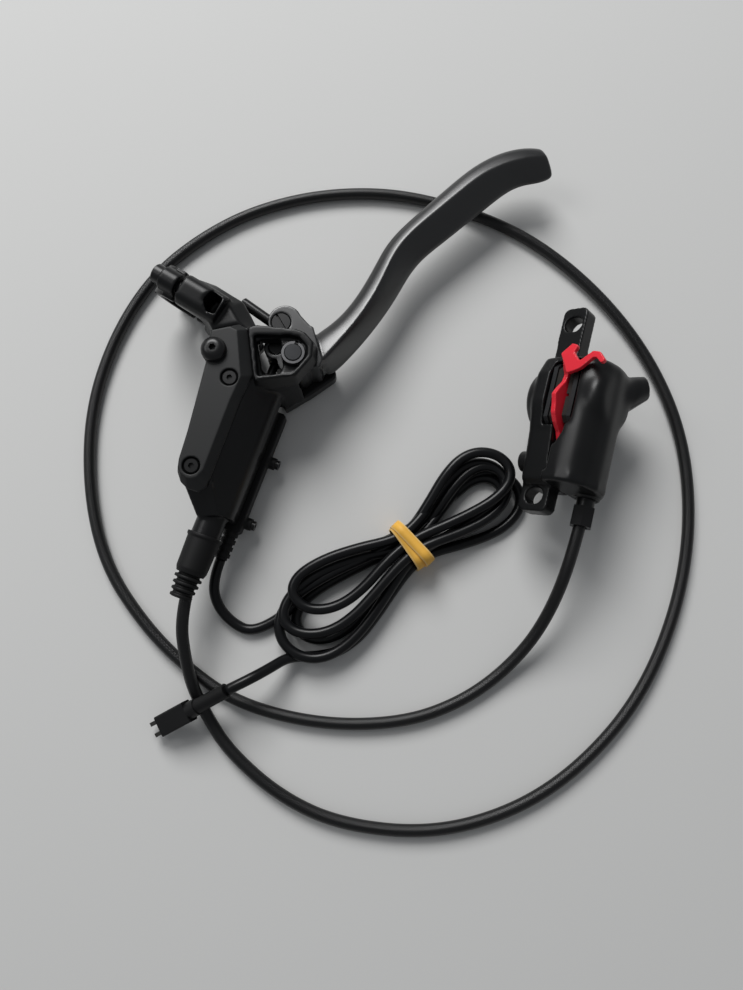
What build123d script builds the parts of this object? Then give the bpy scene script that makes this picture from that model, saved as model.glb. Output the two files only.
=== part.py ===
"""Hydraulic disc brake for one wheel of a bicycle: lever, hose, two-piston caliper and sensor lead.

The set lies on a flat surface at z = 0, in millimetres. The lever is modelled about its pivot, with x
along the master cylinder towards the bar clamp, and the caliper about the middle of its two mounting
slots, with x along the pistons, y along the line of the slots and z out of the disc's mouth.
"""
from build123d import *
from math import cos, pi, radians, sin, sqrt, tan
import os

os.makedirs("parts", exist_ok=True)

# Where the two assemblies lie on the surface
PIVOT_AT = (-40.8, -1.4)
HOUSING_TURN = 70
CALIPER_AT = (64.6, -20.9, 24.8)
CALIPER_TURN = 75
CALIPER_ROLL = 45

# Clearances
SLIDE_CLEAR = 0.05
PIN_CLEAR = 0.05
SIDE_CLEAR = 0.3
THREAD_CLEAR = 0.03

# Bar clamp
BAR_R = 11.1
BAR_WALL = 3.4
BAR_Z = 19.5
CLAMP_AT = (13.0, 51.9)
CLAMP_TURN = -102
CLAMP_TILT = 10
CLAMP_WIDTH = 13.0
CLAMP_GAP = 2.0
CLAMP_BOLT_OFF = 14.5
CLAMP_BOLT_R = 2.5
CLAMP_BOLT_HEAD_R = 4.0
CLAMP_BOLT_HEAD_H = 4.0
CLAMP_BOSS_R = 5.0
CLAMP_BOSS_LEN = 20.0
CAP_EAR_LEN = 7.5
CLAMP_BOLT_DEPTH = 9.5

# Master cylinder
CYL_Z = 19.0
CYL_R = 8.5
BORE_R = 5.5
CYL_MOUTH_X = -11.0
CYL_END_X = -69.5
BORE_END_X = -64.0
SIDE_WALL_LEN = 53.0
NECK_R = 5.9
NECK_END_X = -85.0
PORT_R = 1.5

# Pivot, ears and the slot between them
PIN_R = 3.6
EAR_TOP_Z = 36.0
RECESS_Z = 32.8
PIN_SEAT_Z = 34.6
PIN_SEAT_R = 4.9
EAR_UNDER_Z = 28.5
LOWER_EAR_TOP_Z = 9.6
LOWER_EAR_Z = 3.0
SLOT_X = -9.5
SLOT_R = 24.3
RETAINER_R = 4.6
RETAINER_H = 0.8

# Lever blade and the arms on its hub
LEVER_PULL = 25
ROD_ARM = 9.1
HUB_R = 7.2
ROD_LUG_R = 5.0
ROD_BARREL_R = 3.0
REACH_AT = (12.7, 10.9)
REACH_LUG_AT = (13.6, 9.6)
REACH_BARREL_R = 4.0
REACH_LUG_R = 6.9
REACH_ROD_R = 2.2
REACH_ROD_LEN = 21.5
REACH_ROD_TURN = 74
REACH_SWING_R = 37.8
REACH_SWING_X = 0.3
FORK_GAP = 5.4
BLADE_TURN = -30
BLADE_Z = 19.3

# Push rod and master piston
ROD_R = 1.8
ROD_LEN = 17.0
BALL_R = 2.3
SOCKET_CLEAR = 0.35
PISTON_LEN = 26.0
CUP_W = 2.2

# Reservoir and cover
RES_TOP_Z = 33.6
BODY_BASE_Z = 9.5
WELL_FLOOR_Z = 14.0
DIAPHRAGM_T = 0.8
COVER_RIM_Z = 34.4
COVER_SEAT_CLEAR = 0.3
COVER_TOP_Z = 37.2
COVER_SCREWS = ((-18.5, 19.3), (-56.2, 19.9))
COVER_SCREW_R = 3.0
COVER_RECESS_R = 3.5
BLEED_AT = (-10.3, 29.0)
BLEED_R = 4.9
BLEED_SHANK_R = 2.4

# Hose and its fittings
HOSE_R = 2.65
INSERT_R = 1.1
NUT_SHANK_R = 3.9
NUT_FLATS = 8.0
BOOT_R = 6.3
BOOT_START_X = -78.6
BOOT_END_X = -95.0
BELLOWS_END_X = -105.0
BELLOWS_RIBS = 4

# Sensor on the lower side of the cylinder
SENSOR_TOP_Z = 10.0
SENSOR_H = 7.2
SENSOR_X = (-73.0, -18.8)
SENSOR_Y = (-1.4, 7.5)
SENSOR_SCREWS = (-40.0, -67.5)
SENSOR_SCREW_R = 2.0
RELIEF_R = 3.2
RELIEF_LEN = 12.0
CABLE_R = 2.15

# Caliper
SLOT_PITCH = 74.2
MOUNT_SLOT_X = -0.9
MOUNT_SLOT_L = 8.0
MOUNT_SLOT_W = 6.8
LUG_H = 7.0
LUG_END = 7.4
UPPER_LUG_X = (-6.6, 4.6)
LOWER_LUG_X = (-7.4, 5.8)
DISC_X = 6.1
DISC_R = 80.0
DISC_AT = (33.0, 60.0)
DISC_SLOT_W = 3.0
PISTON_AT = (4.0, -5.5)
PISTON_R = 10.5
WHEEL_PISTON_LEN = 7.0
PAD_GAP = 3.2
PAD_T = 2.6
PLATE_T = 1.8
PAD_TRAVEL = 0.5
INNER_FACE_X = -11.0
INNER_FLANK_X = -7.0
OUTER_FACE_X = 22.9
OUTER_TOP_T = 19.5
PISTON_BOSS_R = 13.4
POCKET_HALF = 6.5
POCKET_T = (-9.4, 17.4)
POCKET_R = -16.4
BODY_BOLTS = ((-22.5, -2.5), (13.5, -22.4))
BODY_BOLT_R = 2.5
BODY_BOLT_HEAD_R = 4.3
BODY_BOLT_HEAD_H = 4.0
BRIDGE_X = (-4.4, 14.1)
PAD_PIN_AT = (-4.2, -21.0)
PAD_PIN_R = 1.5
CLIP_ROOM_R = 3.2
PORT_AT = (14.0, -14.0)
PORT_BOSS_R = 5.2
PORT_END_T = -34.0
BLEED_BOSS_AT = (14.0, 12.0, -15.5)
BLEED_BOSS_DIR = (10.0, 6.0, -9.5)
BLEED_BOSS_LEN = 14.0
BLEED_BOSS_ROOT = (15.0, 7.5, -12.0)
BLEED_BOSS_R = (9.0, 4.8)
SPACER_T = 2.0
TAB_R = 8.9

# The coiled part of the sensor lead, and the plug at its end
HANK_AT = (6.2, -74.9)
HANK_TURN = 38
HANK_H = 14.5
BAND_T = 1.1
BAND_W = 5.5
PLUG_FROM = (-66.4, -132.5, 15.9)
PLUG_TO = (-98.3, -149.4, 3.4)
SLEEVE_R = 2.9
SLEEVE_LEN = 14.6

LEVER_PLACE = Location((*PIVOT_AT, 0), (0, 0, HOUSING_TURN))
CALIPER_PLACE = (
    Location(CALIPER_AT, (0, 0, CALIPER_TURN - 90)) * Location((0, 0, 0), (0, -CALIPER_ROLL, 0))
)


def save(piece, name, place=Location()):
    """Puts a finished piece where it lies in the set, names it and writes it."""
    placed = place * piece
    placed.label = name
    export_step(placed, f"parts/{name}.step")


def polar(radius, angle):
    """A point at this distance and angle from the origin."""
    return (radius * cos(radians(angle)), radius * sin(radians(angle)))


# Lever housing with its master cylinder, reservoir, ears and half of the bar clamp
BODY_OUTLINE = (
    (-73.0, 13.6), (-60.5, 23.6), (-55.0, 25.6), (-43.6, 26.8), (-16.0, 30.6), (-2.2, 34.0),
    (4.2, 24.0), (3.2, 20.0), (-14.0, 11.2), (-24.9, 12.0), (-58.3, 11.4), (-70.0, 5.0),
)
# Head with both ears, at the lower ear, at the upper ear's underside and at its top
HEAD_BASE = (
    (3.4, 21.4), (6.3, 17.6), (8.7, 8.6), (9.0, 2.2), (9.0, -1.9), (7.4, -7.2), (0.9, -10.0),
    (-11.0, -6.3), (-16.6, 1.4), (-17.0, 11.6),
)
HEAD_MIDDLE = (
    (3.4, 21.4), (6.3, 17.6), (8.7, 8.6), (10.2, 2.2), (10.1, -1.9), (7.4, -7.2), (0.9, -9.3),
    (-9.8, -5.6), (-18.4, 9.0), (-15.0, 11.6),
)
HEAD_TOP = (
    (3.0, 21.0), (5.7, 17.4), (7.9, 8.4), (9.4, 2.0), (9.3, -1.6), (6.8, -6.0), (1.0, -7.9),
    (-8.6, -4.4), (-16.0, 9.6), (-14.0, 11.2),
)
RECESS_OUTLINE = (
    (1.4, 17.2), (-14.0, 9.4), (-7.9, -2.9), (0.5, -5.8), (4.1, -4.6), (6.8, 0.0), (6.2, 4.3), (4.8, 7.2),
)
# Arm to the bar clamp, below its sloping side and on top
ARM_FOOT = (
    (18.4, 47.0), (18.0, 40.9), (16.7, 35.2), (15.2, 28.2), (10.5, 22.8), (6.6, 18.4), (-2.0, 22.0),
    (-3.2, 32.5), (2.4, 40.0), (4.8, 46.0),
)
ARM_TOP = (
    (15.8, 47.5), (15.0, 41.0), (12.0, 35.0), (9.6, 31.0), (4.5, 25.0), (3.0, 22.0), (-1.0, 24.0),
    (-2.4, 33.0), (2.6, 39.0), (6.0, 46.0),
)
ARM_SIDE_Z = 29.0
ARM_TOP_Z = 34.6
ARM_POCKET = ((7.6, 40.6), (12.4, 38.9), (10.4, 33.4), (3.4, 34.2), (3.7, 38.2))
ARM_POCKET_Z = 28.0
# Rim of the reservoir cover, which the head and the arm stop short of
COVER_RIM = (
    (-64.8, 18.5), (-63.2, 22.0), (-60.0, 24.6), (-55.4, 26.0), (-43.6, 27.2), (-16.0, 31.0), (-2.4, 34.4),
    (4.0, 24.4), (3.0, 20.6), (-14.0, 11.6), (-24.9, 12.4), (-57.5, 11.8), (-62.0, 12.0), (-64.6, 14.0),
)
# Side wall between the reservoir and the cylinder, across the cylinder and upward
SIDE_WALL = ((11.6, 33.4), (2.2, 24.1), (9.0, 19.0), (12.5, 19.0), (12.5, 33.4))
LOWER_EAR_OUTLINE = (
    (-9.0, 8.0), (9.0, 2.0), (9.4, -12.0), (4.5, -15.8), (-6.9, -8.0), (-17.0, 0.0),
)
WINDOW_OUTLINE = ((0.6, 15.8), (4.3, 7.0), (-1.0, 5.2), (-5.6, 2.4), (-8.6, 2.4), (-12.2, 8.6))

bar_direction = (*polar(cos(radians(CLAMP_TILT)), CLAMP_TURN + 90), sin(radians(CLAMP_TILT)))
bolt_direction = (*polar(1, CLAMP_TURN), 0)
clamp_axis = Plane(origin=(*CLAMP_AT, BAR_Z), x_dir=bolt_direction, z_dir=bar_direction)
bolt_axis = Plane(origin=(*CLAMP_AT, BAR_Z), x_dir=bar_direction, z_dir=bolt_direction)
BAR_OUT_R = BAR_R + BAR_WALL

with BuildPart() as lever_body:
    with BuildSketch(Plane.XY.offset(BODY_BASE_Z)):
        with BuildLine():
            Polyline(*BODY_OUTLINE, close=True)
        make_face()
    extrude(amount=RES_TOP_Z - BODY_BASE_Z)
    with BuildSketch(Plane.YZ.offset(CYL_END_X)):
        with BuildLine():
            Polyline(*SIDE_WALL, close=True)
        make_face()
    extrude(amount=SIDE_WALL_LEN)
    with BuildSketch(Plane.XZ.offset(-40)):
        with BuildLine():
            Polyline((-60, RES_TOP_Z), (-60, 50), (-90, 50), (-90, 20), (-73, 25), close=True)
        make_face()
    extrude(amount=40, mode=Mode.SUBTRACT)
    with BuildSketch(Plane.XZ.offset(-40)):
        with BuildLine():
            Polyline((-60, BODY_BASE_Z), (-60, 0), (-90, 0), (-90, 17), (-73, 14), close=True)
        make_face()
    extrude(amount=40, mode=Mode.SUBTRACT)
    with BuildSketch(Plane.YZ.offset(CYL_END_X)):
        with Locations((ROD_ARM - 0.1, CYL_Z)):
            Circle(CYL_R)
    extrude(amount=CYL_MOUTH_X - CYL_END_X)
    with BuildSketch(Plane.YZ.offset(NECK_END_X)):
        with Locations((ROD_ARM - 0.1, CYL_Z)):
            Circle(NECK_R)
    extrude(amount=CYL_END_X - NECK_END_X + 1)
    with BuildSketch(Plane.XY.offset(BODY_BASE_Z)):
        with Locations(BLEED_AT):
            Circle(BLEED_R + 0.2)
    extrude(amount=RES_TOP_Z - BODY_BASE_Z)
    # flat pad under the cylinder for the sensor
    with BuildSketch(Plane.XY.offset(SENSOR_TOP_Z)):
        with Locations(((SENSOR_X[0] + SENSOR_X[1]) / 2 + 1, 5.0)):
            Rectangle(SENSOR_X[1] - SENSOR_X[0] - 4, 8.0)
    extrude(amount=CYL_Z - SENSOR_TOP_Z)
    # the head that carries both ears
    for (low, low_z), (high, high_z) in (
        ((HEAD_BASE, LOWER_EAR_TOP_Z), (HEAD_MIDDLE, EAR_UNDER_Z)),
        ((HEAD_MIDDLE, EAR_UNDER_Z), (HEAD_TOP, EAR_TOP_Z)),
        ((ARM_FOOT, ARM_SIDE_Z), (ARM_TOP, ARM_TOP_Z)),
    ):
        for outline, height in ((low, low_z), (high, high_z)):
            with BuildSketch(Plane.XY.offset(height)):
                with BuildLine():
                    Polyline(*outline, close=True)
                make_face()
        loft(ruled=True)
    with BuildSketch(Plane.XY.offset(LOWER_EAR_Z)) as lower_ear_shape:
        with BuildLine():
            Polyline(*LOWER_EAR_OUTLINE, close=True)
        make_face()
        fillet(lower_ear_shape.vertices().sort_by(Axis.Y)[0:2], 3.0)
    extrude(amount=LOWER_EAR_TOP_Z - LOWER_EAR_Z)
    with BuildSketch(Plane.XY.offset(BAR_Z - BAR_OUT_R)):
        with BuildLine():
            Polyline(*ARM_FOOT, close=True)
        make_face()
    extrude(amount=ARM_SIDE_Z - BAR_Z + BAR_OUT_R)
    # half ring round the bar with its two bolt bosses
    with BuildSketch(clamp_axis.offset(-CLAMP_WIDTH / 2)):
        Circle(BAR_OUT_R)
        with Locations((BAR_OUT_R / 2 + 1, 0)):
            Rectangle(BAR_OUT_R - 2, 2 * CLAMP_BOLT_OFF)
    extrude(amount=CLAMP_WIDTH)
    with BuildSketch(bolt_axis):
        with Locations((0, CLAMP_BOLT_OFF), (0, -CLAMP_BOLT_OFF)):
            SlotOverall(CLAMP_WIDTH, 2 * CLAMP_BOSS_R)
    extrude(amount=CLAMP_BOSS_LEN)
    with BuildSketch(Plane.XY.offset(ARM_POCKET_Z)) as arm_pocket:
        with BuildLine():
            Polyline(*ARM_POCKET, close=True)
        make_face()
        fillet(arm_pocket.vertices(), 0.8)
    extrude(amount=EAR_TOP_Z, mode=Mode.SUBTRACT)
    with BuildSketch(clamp_axis.offset(-2 * CLAMP_WIDTH)):
        Circle(BAR_R)
        with Locations((CLAMP_GAP / 2 - 2 * BAR_OUT_R, 0)):
            Rectangle(4 * BAR_OUT_R, 6 * BAR_OUT_R)
    extrude(amount=4 * CLAMP_WIDTH, mode=Mode.SUBTRACT)
    with BuildSketch(bolt_axis):
        with Locations((0, CLAMP_BOLT_OFF), (0, -CLAMP_BOLT_OFF)):
            Circle(CLAMP_BOLT_R + THREAD_CLEAR)
    extrude(amount=CLAMP_BOLT_DEPTH + 1, mode=Mode.SUBTRACT)
    # slot between the ears, open to the right, and the groove the reach rod swings in
    with BuildSketch(Plane.XY.offset(LOWER_EAR_TOP_Z)) as slot_shape:
        Circle(SLOT_R)
        with Locations((SLOT_X - 30, 0)):
            Rectangle(60, 80, mode=Mode.SUBTRACT)
    extrude(amount=EAR_UNDER_Z - LOWER_EAR_TOP_Z, mode=Mode.SUBTRACT)
    with BuildSketch(Plane.XY.offset(BLADE_Z - FORK_GAP / 2)):
        Circle(REACH_SWING_R)
        with Locations((REACH_SWING_X - REACH_SWING_R, 0)):
            Rectangle(2 * REACH_SWING_R, 3 * REACH_SWING_R, mode=Mode.SUBTRACT)
    extrude(amount=FORK_GAP, mode=Mode.SUBTRACT)
    # seat of the cover, which the head and the arm stop short of
    with BuildSketch(Plane.XY.offset(RES_TOP_Z)) as cover_seat:
        with BuildLine():
            Polyline(*COVER_RIM, close=True)
        make_face()
        offset(amount=COVER_SEAT_CLEAR)
    extrude(amount=EAR_TOP_Z, mode=Mode.SUBTRACT)
    # recess in the head's top with the pin's seat in it, window over the push rod and pin hole
    with BuildSketch(Plane.XY.offset(RECESS_Z)) as recess:
        with BuildLine():
            Polyline(*RECESS_OUTLINE, close=True)
        make_face()
        fillet(recess.vertices(), 0.9)
    extrude(amount=EAR_TOP_Z, mode=Mode.SUBTRACT)
    with BuildSketch(Plane.XY.offset(RECESS_Z)):
        Circle(PIN_SEAT_R)
    extrude(amount=PIN_SEAT_Z - RECESS_Z)
    with BuildSketch(Plane.XY.offset(EAR_UNDER_Z)) as window:
        with BuildLine():
            Polyline(*WINDOW_OUTLINE, close=True)
        make_face()
        fillet(window.vertices(), 0.8)
    extrude(amount=EAR_TOP_Z, mode=Mode.SUBTRACT)
    with BuildSketch(Plane.XY):
        Circle(PIN_R + PIN_CLEAR)
    extrude(amount=EAR_TOP_Z + 1, mode=Mode.SUBTRACT)
    # master bore, its mouth groove, the port through the neck and the hose fitting's hole
    with BuildSketch(Plane.YZ.offset(BORE_END_X)):
        with Locations((ROD_ARM - 0.1, CYL_Z)):
            Circle(BORE_R)
    extrude(amount=SLOT_X - BORE_END_X + 6, mode=Mode.SUBTRACT)
    with BuildSketch(Plane.YZ.offset(CYL_MOUTH_X - 2.5)):
        with Locations((ROD_ARM - 0.1, CYL_Z)):
            Circle(BORE_R + 0.6)
    extrude(amount=1.0, mode=Mode.SUBTRACT)
    with BuildSketch(Plane.YZ.offset(NECK_END_X)):
        with Locations((ROD_ARM - 0.1, CYL_Z)):
            Circle(PORT_R)
    extrude(amount=BORE_END_X - NECK_END_X, mode=Mode.SUBTRACT)
    with BuildSketch(Plane.YZ.offset(NECK_END_X)):
        with Locations((ROD_ARM - 0.1, CYL_Z)):
            Circle(NUT_SHANK_R + THREAD_CLEAR)
    extrude(amount=9.0, mode=Mode.SUBTRACT)
    # fluid well beside the cylinder with its feed port
    with BuildSketch(Plane.XY.offset(WELL_FLOOR_Z)) as well:
        with BuildLine():
            Polyline((-52, 19), (-52, 24), (-20, 27.6), (-17, 27.6), (-17, 24.5), (-22, 19), close=True)
        make_face()
        fillet(well.vertices(), 0.9)
    extrude(amount=RES_TOP_Z, mode=Mode.SUBTRACT)
    with BuildSketch(Plane.XZ.offset(-20)):
        with Locations((-46, CYL_Z), (-49.5, CYL_Z)):
            Circle(0.6)
    extrude(amount=8, mode=Mode.SUBTRACT)
    # holes for the cover screws and the bleed screw
    with BuildSketch(Plane.XY.offset(RES_TOP_Z)):
        with Locations(*COVER_SCREWS):
            Circle(1.5 + THREAD_CLEAR)
    extrude(amount=-8.5, mode=Mode.SUBTRACT)
    with BuildSketch(Plane.XY.offset(RES_TOP_Z)):
        with Locations(BLEED_AT):
            Circle(BLEED_SHANK_R + THREAD_CLEAR)
    extrude(amount=-6, mode=Mode.SUBTRACT)

save(lever_body.part, "lever_body", LEVER_PLACE)

# Outer half of the bar clamp and its two bolts
with BuildPart() as clamp_cap:
    with BuildSketch(clamp_axis.offset(-CLAMP_WIDTH / 2)):
        Circle(BAR_OUT_R)
        with Locations((-3.0, 0)):
            Rectangle(6.0, 2 * CLAMP_BOLT_OFF)
    extrude(amount=CLAMP_WIDTH)
    with BuildSketch(bolt_axis.offset(-CLAMP_GAP / 2 - CAP_EAR_LEN)):
        with Locations((0, CLAMP_BOLT_OFF), (0, -CLAMP_BOLT_OFF)):
            Circle(CLAMP_BOSS_R)
    extrude(amount=CAP_EAR_LEN)
    with BuildSketch(clamp_axis.offset(-2 * CLAMP_WIDTH)):
        Circle(BAR_R)
        with Locations((2 * BAR_OUT_R - CLAMP_GAP / 2, 0)):
            Rectangle(4 * BAR_OUT_R, 6 * BAR_OUT_R)
    extrude(amount=4 * CLAMP_WIDTH, mode=Mode.SUBTRACT)
    with BuildSketch(bolt_axis.offset(-3 * CAP_EAR_LEN)):
        with Locations((0, CLAMP_BOLT_OFF), (0, -CLAMP_BOLT_OFF)):
            Circle(CLAMP_BOLT_R + THREAD_CLEAR)
    extrude(amount=4 * CAP_EAR_LEN, mode=Mode.SUBTRACT)
    with BuildSketch(bolt_axis.offset(-CLAMP_GAP / 2 - CAP_EAR_LEN)):
        with Locations((0, CLAMP_BOLT_OFF), (0, -CLAMP_BOLT_OFF)):
            Circle(CLAMP_BOLT_HEAD_R + SIDE_CLEAR)
    extrude(amount=-CLAMP_BOLT_HEAD_H - 1, mode=Mode.SUBTRACT)

CAP_SEAT = -CLAMP_GAP / 2 - CAP_EAR_LEN
with BuildPart() as clamp_bolts:
    with BuildSketch(bolt_axis.offset(CAP_SEAT)):
        with Locations((0, CLAMP_BOLT_OFF), (0, -CLAMP_BOLT_OFF)):
            Circle(CLAMP_BOLT_R)
    extrude(amount=CLAMP_BOLT_DEPTH - CAP_SEAT)
    with BuildSketch(bolt_axis.offset(CAP_SEAT)):
        with Locations((0, CLAMP_BOLT_OFF), (0, -CLAMP_BOLT_OFF)):
            Circle(CLAMP_BOLT_HEAD_R)
    extrude(amount=-CLAMP_BOLT_HEAD_H)
    chamfer(clamp_bolts.edges().filter_by(GeomType.CIRCLE).group_by(SortBy.RADIUS)[-1], 0.35)
    with BuildSketch(bolt_axis.offset(CAP_SEAT - CLAMP_BOLT_HEAD_H)):
        with Locations((0, CLAMP_BOLT_OFF), (0, -CLAMP_BOLT_OFF)):
            RegularPolygon(2.0, 6, major_radius=False)
    extrude(amount=2.2, mode=Mode.SUBTRACT)

save(clamp_cap.part, "clamp_cap", LEVER_PLACE)
save(clamp_bolts.part, "clamp_bolts", LEVER_PLACE)

# Reservoir cover, the rubber diaphragm under it, its screws and the bleed screw
COVER_TOP = (
    (-61.2, 19.9), (-60.3, 22.5), (-58.4, 24.4), (-55.2, 25.2), (-43.6, 26.2), (-16.0, 29.8), (-3.0, 33.0),
    (0.8, 27.0), (0.4, 23.6), (-16.8, 15.2), (-27.0, 15.6), (-56.2, 14.9), (-59.6, 16.3), (-60.9, 18.2),
)
DIAPHRAGM_OUTLINE = (
    (-53.2, 17.9), (-53.2, 25.1), (-19.0, 28.9), (-15.9, 28.9), (-15.9, 25.4), (-23.2, 17.9),
)
with BuildPart() as reservoir_cover:
    with BuildSketch(Plane.XY.offset(RES_TOP_Z)):
        with BuildLine():
            Polyline(*COVER_RIM, close=True)
        make_face()
    extrude(amount=COVER_RIM_Z - RES_TOP_Z)
    with BuildSketch(Plane.XY.offset(COVER_RIM_Z)):
        with BuildLine():
            Polyline(*COVER_RIM, close=True)
        make_face()
    with BuildSketch(Plane.XY.offset(COVER_TOP_Z)):
        with BuildLine():
            Polyline(*COVER_TOP, close=True)
        make_face()
    loft(ruled=True)
    with BuildSketch(Plane.XY.offset(RES_TOP_Z)):
        with Locations(BLEED_AT):
            Circle(BLEED_R + 0.2)
    extrude(amount=COVER_TOP_Z - RES_TOP_Z)
    with BuildSketch(Plane.XY.offset(RES_TOP_Z)) as diaphragm_seat:
        with BuildLine():
            Polyline(*DIAPHRAGM_OUTLINE, close=True)
        make_face()
        fillet(diaphragm_seat.vertices(), 1.4)
        offset(amount=SIDE_CLEAR)
    extrude(amount=DIAPHRAGM_T + 0.4, mode=Mode.SUBTRACT)
    with BuildSketch(Plane.XY.offset(RES_TOP_Z)):
        with Locations(*COVER_SCREWS):
            Circle(1.7)
        with Locations(BLEED_AT):
            Circle(BLEED_SHANK_R + THREAD_CLEAR)
    extrude(amount=5, mode=Mode.SUBTRACT)
    with BuildSketch(Plane.XY.offset(COVER_TOP_Z - 1.9)):
        with Locations(*COVER_SCREWS):
            Circle(COVER_RECESS_R)
    extrude(amount=5, mode=Mode.SUBTRACT)

with BuildPart() as reservoir_diaphragm:
    with BuildSketch(Plane.XY.offset(RES_TOP_Z)) as diaphragm_shape:
        with BuildLine():
            Polyline(*DIAPHRAGM_OUTLINE, close=True)
        make_face()
        fillet(diaphragm_shape.vertices(), 1.4)
    extrude(amount=DIAPHRAGM_T)

with BuildPart() as cover_screws:
    with BuildSketch(Plane.XY.offset(COVER_TOP_Z - 1.9)):
        with Locations(*COVER_SCREWS):
            Circle(COVER_SCREW_R)
    extrude(amount=1.5)
    chamfer(cover_screws.edges().filter_by(GeomType.CIRCLE).group_by(Axis.Z)[-1], 0.4)
    with BuildSketch(Plane.XY.offset(COVER_TOP_Z - 1.9)):
        with Locations(*COVER_SCREWS):
            Circle(1.5)
    extrude(amount=-(COVER_TOP_Z - 1.9 - RES_TOP_Z) - 7.5)
    with BuildSketch(Plane.XY.offset(COVER_TOP_Z - 0.4)):
        with Locations(*COVER_SCREWS):
            RegularPolygon(1.25, 6)
    extrude(amount=-1.1, mode=Mode.SUBTRACT)

with BuildPart() as bleed_seal:
    with BuildSketch(Plane.XY.offset(COVER_TOP_Z)):
        with Locations(BLEED_AT):
            Circle(BLEED_R + 0.15)
            Circle(BLEED_SHANK_R + THREAD_CLEAR, mode=Mode.SUBTRACT)
    extrude(amount=0.9)
    fillet(bleed_seal.edges().filter_by(GeomType.CIRCLE).group_by(SortBy.RADIUS)[-1], 0.35)

with BuildPart() as bleed_screw:
    with BuildSketch(Plane.XZ) as head_half:
        with BuildLine():
            Polyline((0, 0), (BLEED_R, 0), (BLEED_R, 0.7))
            ThreePointArc((BLEED_R, 0.7), (3.6, 2.2), (1.9, 2.7))
            Polyline((1.9, 2.7), (0, 2.7), (0, 0))
        make_face()
    revolve(axis=Axis.Z)
    with BuildSketch(Plane.XY):
        Circle(BLEED_SHANK_R)
    extrude(amount=-(COVER_TOP_Z + 0.9 - RES_TOP_Z) - 5)
    with BuildSketch(Plane.XY.offset(2.7)):
        RegularPolygon(1.45, 6)
    extrude(amount=-2.0, mode=Mode.SUBTRACT)
bleed_place = Location((*BLEED_AT, COVER_TOP_Z + 0.9))

save(reservoir_cover.part, "reservoir_cover", LEVER_PLACE)
save(reservoir_diaphragm.part, "reservoir_diaphragm", LEVER_PLACE)
save(cover_screws.part, "cover_screws", LEVER_PLACE)
save(bleed_seal.part, "bleed_seal", LEVER_PLACE)
save(bleed_screw.part, "bleed_screw", LEVER_PLACE * bleed_place)

# Pivot pin with the retaining ring in its upper groove
PIN_TOP_Z = PIN_SEAT_Z + 1.2
with BuildPart() as pivot_pin:
    with BuildSketch(Plane.XY.offset(LOWER_EAR_Z - 1.0)):
        Circle(PIN_R)
    extrude(amount=PIN_TOP_Z - LOWER_EAR_Z + 1.0)
    chamfer(pivot_pin.edges().filter_by(GeomType.CIRCLE), 0.4)
    with BuildSketch(Plane.XY.offset(LOWER_EAR_Z - 1.0)):
        Circle(PIN_R + 0.9)
    extrude(amount=1.0)
    with BuildSketch(Plane.XY.offset(PIN_SEAT_Z)):
        Circle(PIN_R + 1)
        Circle(PIN_R - 0.5, mode=Mode.SUBTRACT)
    extrude(amount=RETAINER_H, mode=Mode.SUBTRACT)

with BuildPart() as pivot_ring:
    with BuildSketch(Plane.XY.offset(PIN_SEAT_Z)):
        Circle(RETAINER_R)
        Circle(PIN_R - 0.45, mode=Mode.SUBTRACT)
        with Locations((RETAINER_R, 0)):
            Rectangle(RETAINER_R + 1, 1.6, mode=Mode.SUBTRACT)
    extrude(amount=RETAINER_H - 0.05)

save(pivot_pin.part, "pivot_pin", LEVER_PLACE)
save(pivot_ring.part, "pivot_ring", LEVER_PLACE)

# Lever blade: upper edge, lower edge and height of its sections, outward from the pivot
BLADE_SECTIONS = (
    ((13.0, 1.6), (5.6, -10.3), 17.0),
    ((21.0, 3.4), (17.6, -9.8), 16.2),
    ((36.0, 8.6), (39.4, -5.4), 14.6),
    ((53.4, 13.9), (57.0, -0.2), 13.4),
    ((68.0, 18.3), (71.2, 2.5), 12.6),
    ((86.6, 20.0), (88.4, 2.6), 12.0),
    ((108.0, 20.0), (109.0, 2.7), 11.6),
    ((125.0, 19.4), (121.6, 2.0), 11.0),
    ((135.4, 15.8), (130.6, -1.4), 10.4),
    ((141.0, 11.2), (138.0, -4.2), 9.4),
    ((143.2, 8.4), (140.9, -2.4), 6.0),
)
# Half widths and half heights round one section, from the upper edge over the ridge to the lower edge
BLADE_ROUND = (
    (1.0, -0.2), (0.86, 0.62), (0.42, 1.0), (-0.2, 0.86), (-0.78, 0.44), (-1.0, -0.1),
    (-0.8, -0.72), (-0.2, -1.0), (0.5, -0.96), (0.9, -0.72),
)
HUB_Z = LOWER_EAR_TOP_Z + SIDE_CLEAR
HUB_TOP_Z = EAR_UNDER_Z - SIDE_CLEAR
START_TURN = 90 - LEVER_PULL / 2
ROD_BARREL_AT = polar(ROD_ARM, START_TURN)

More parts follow.
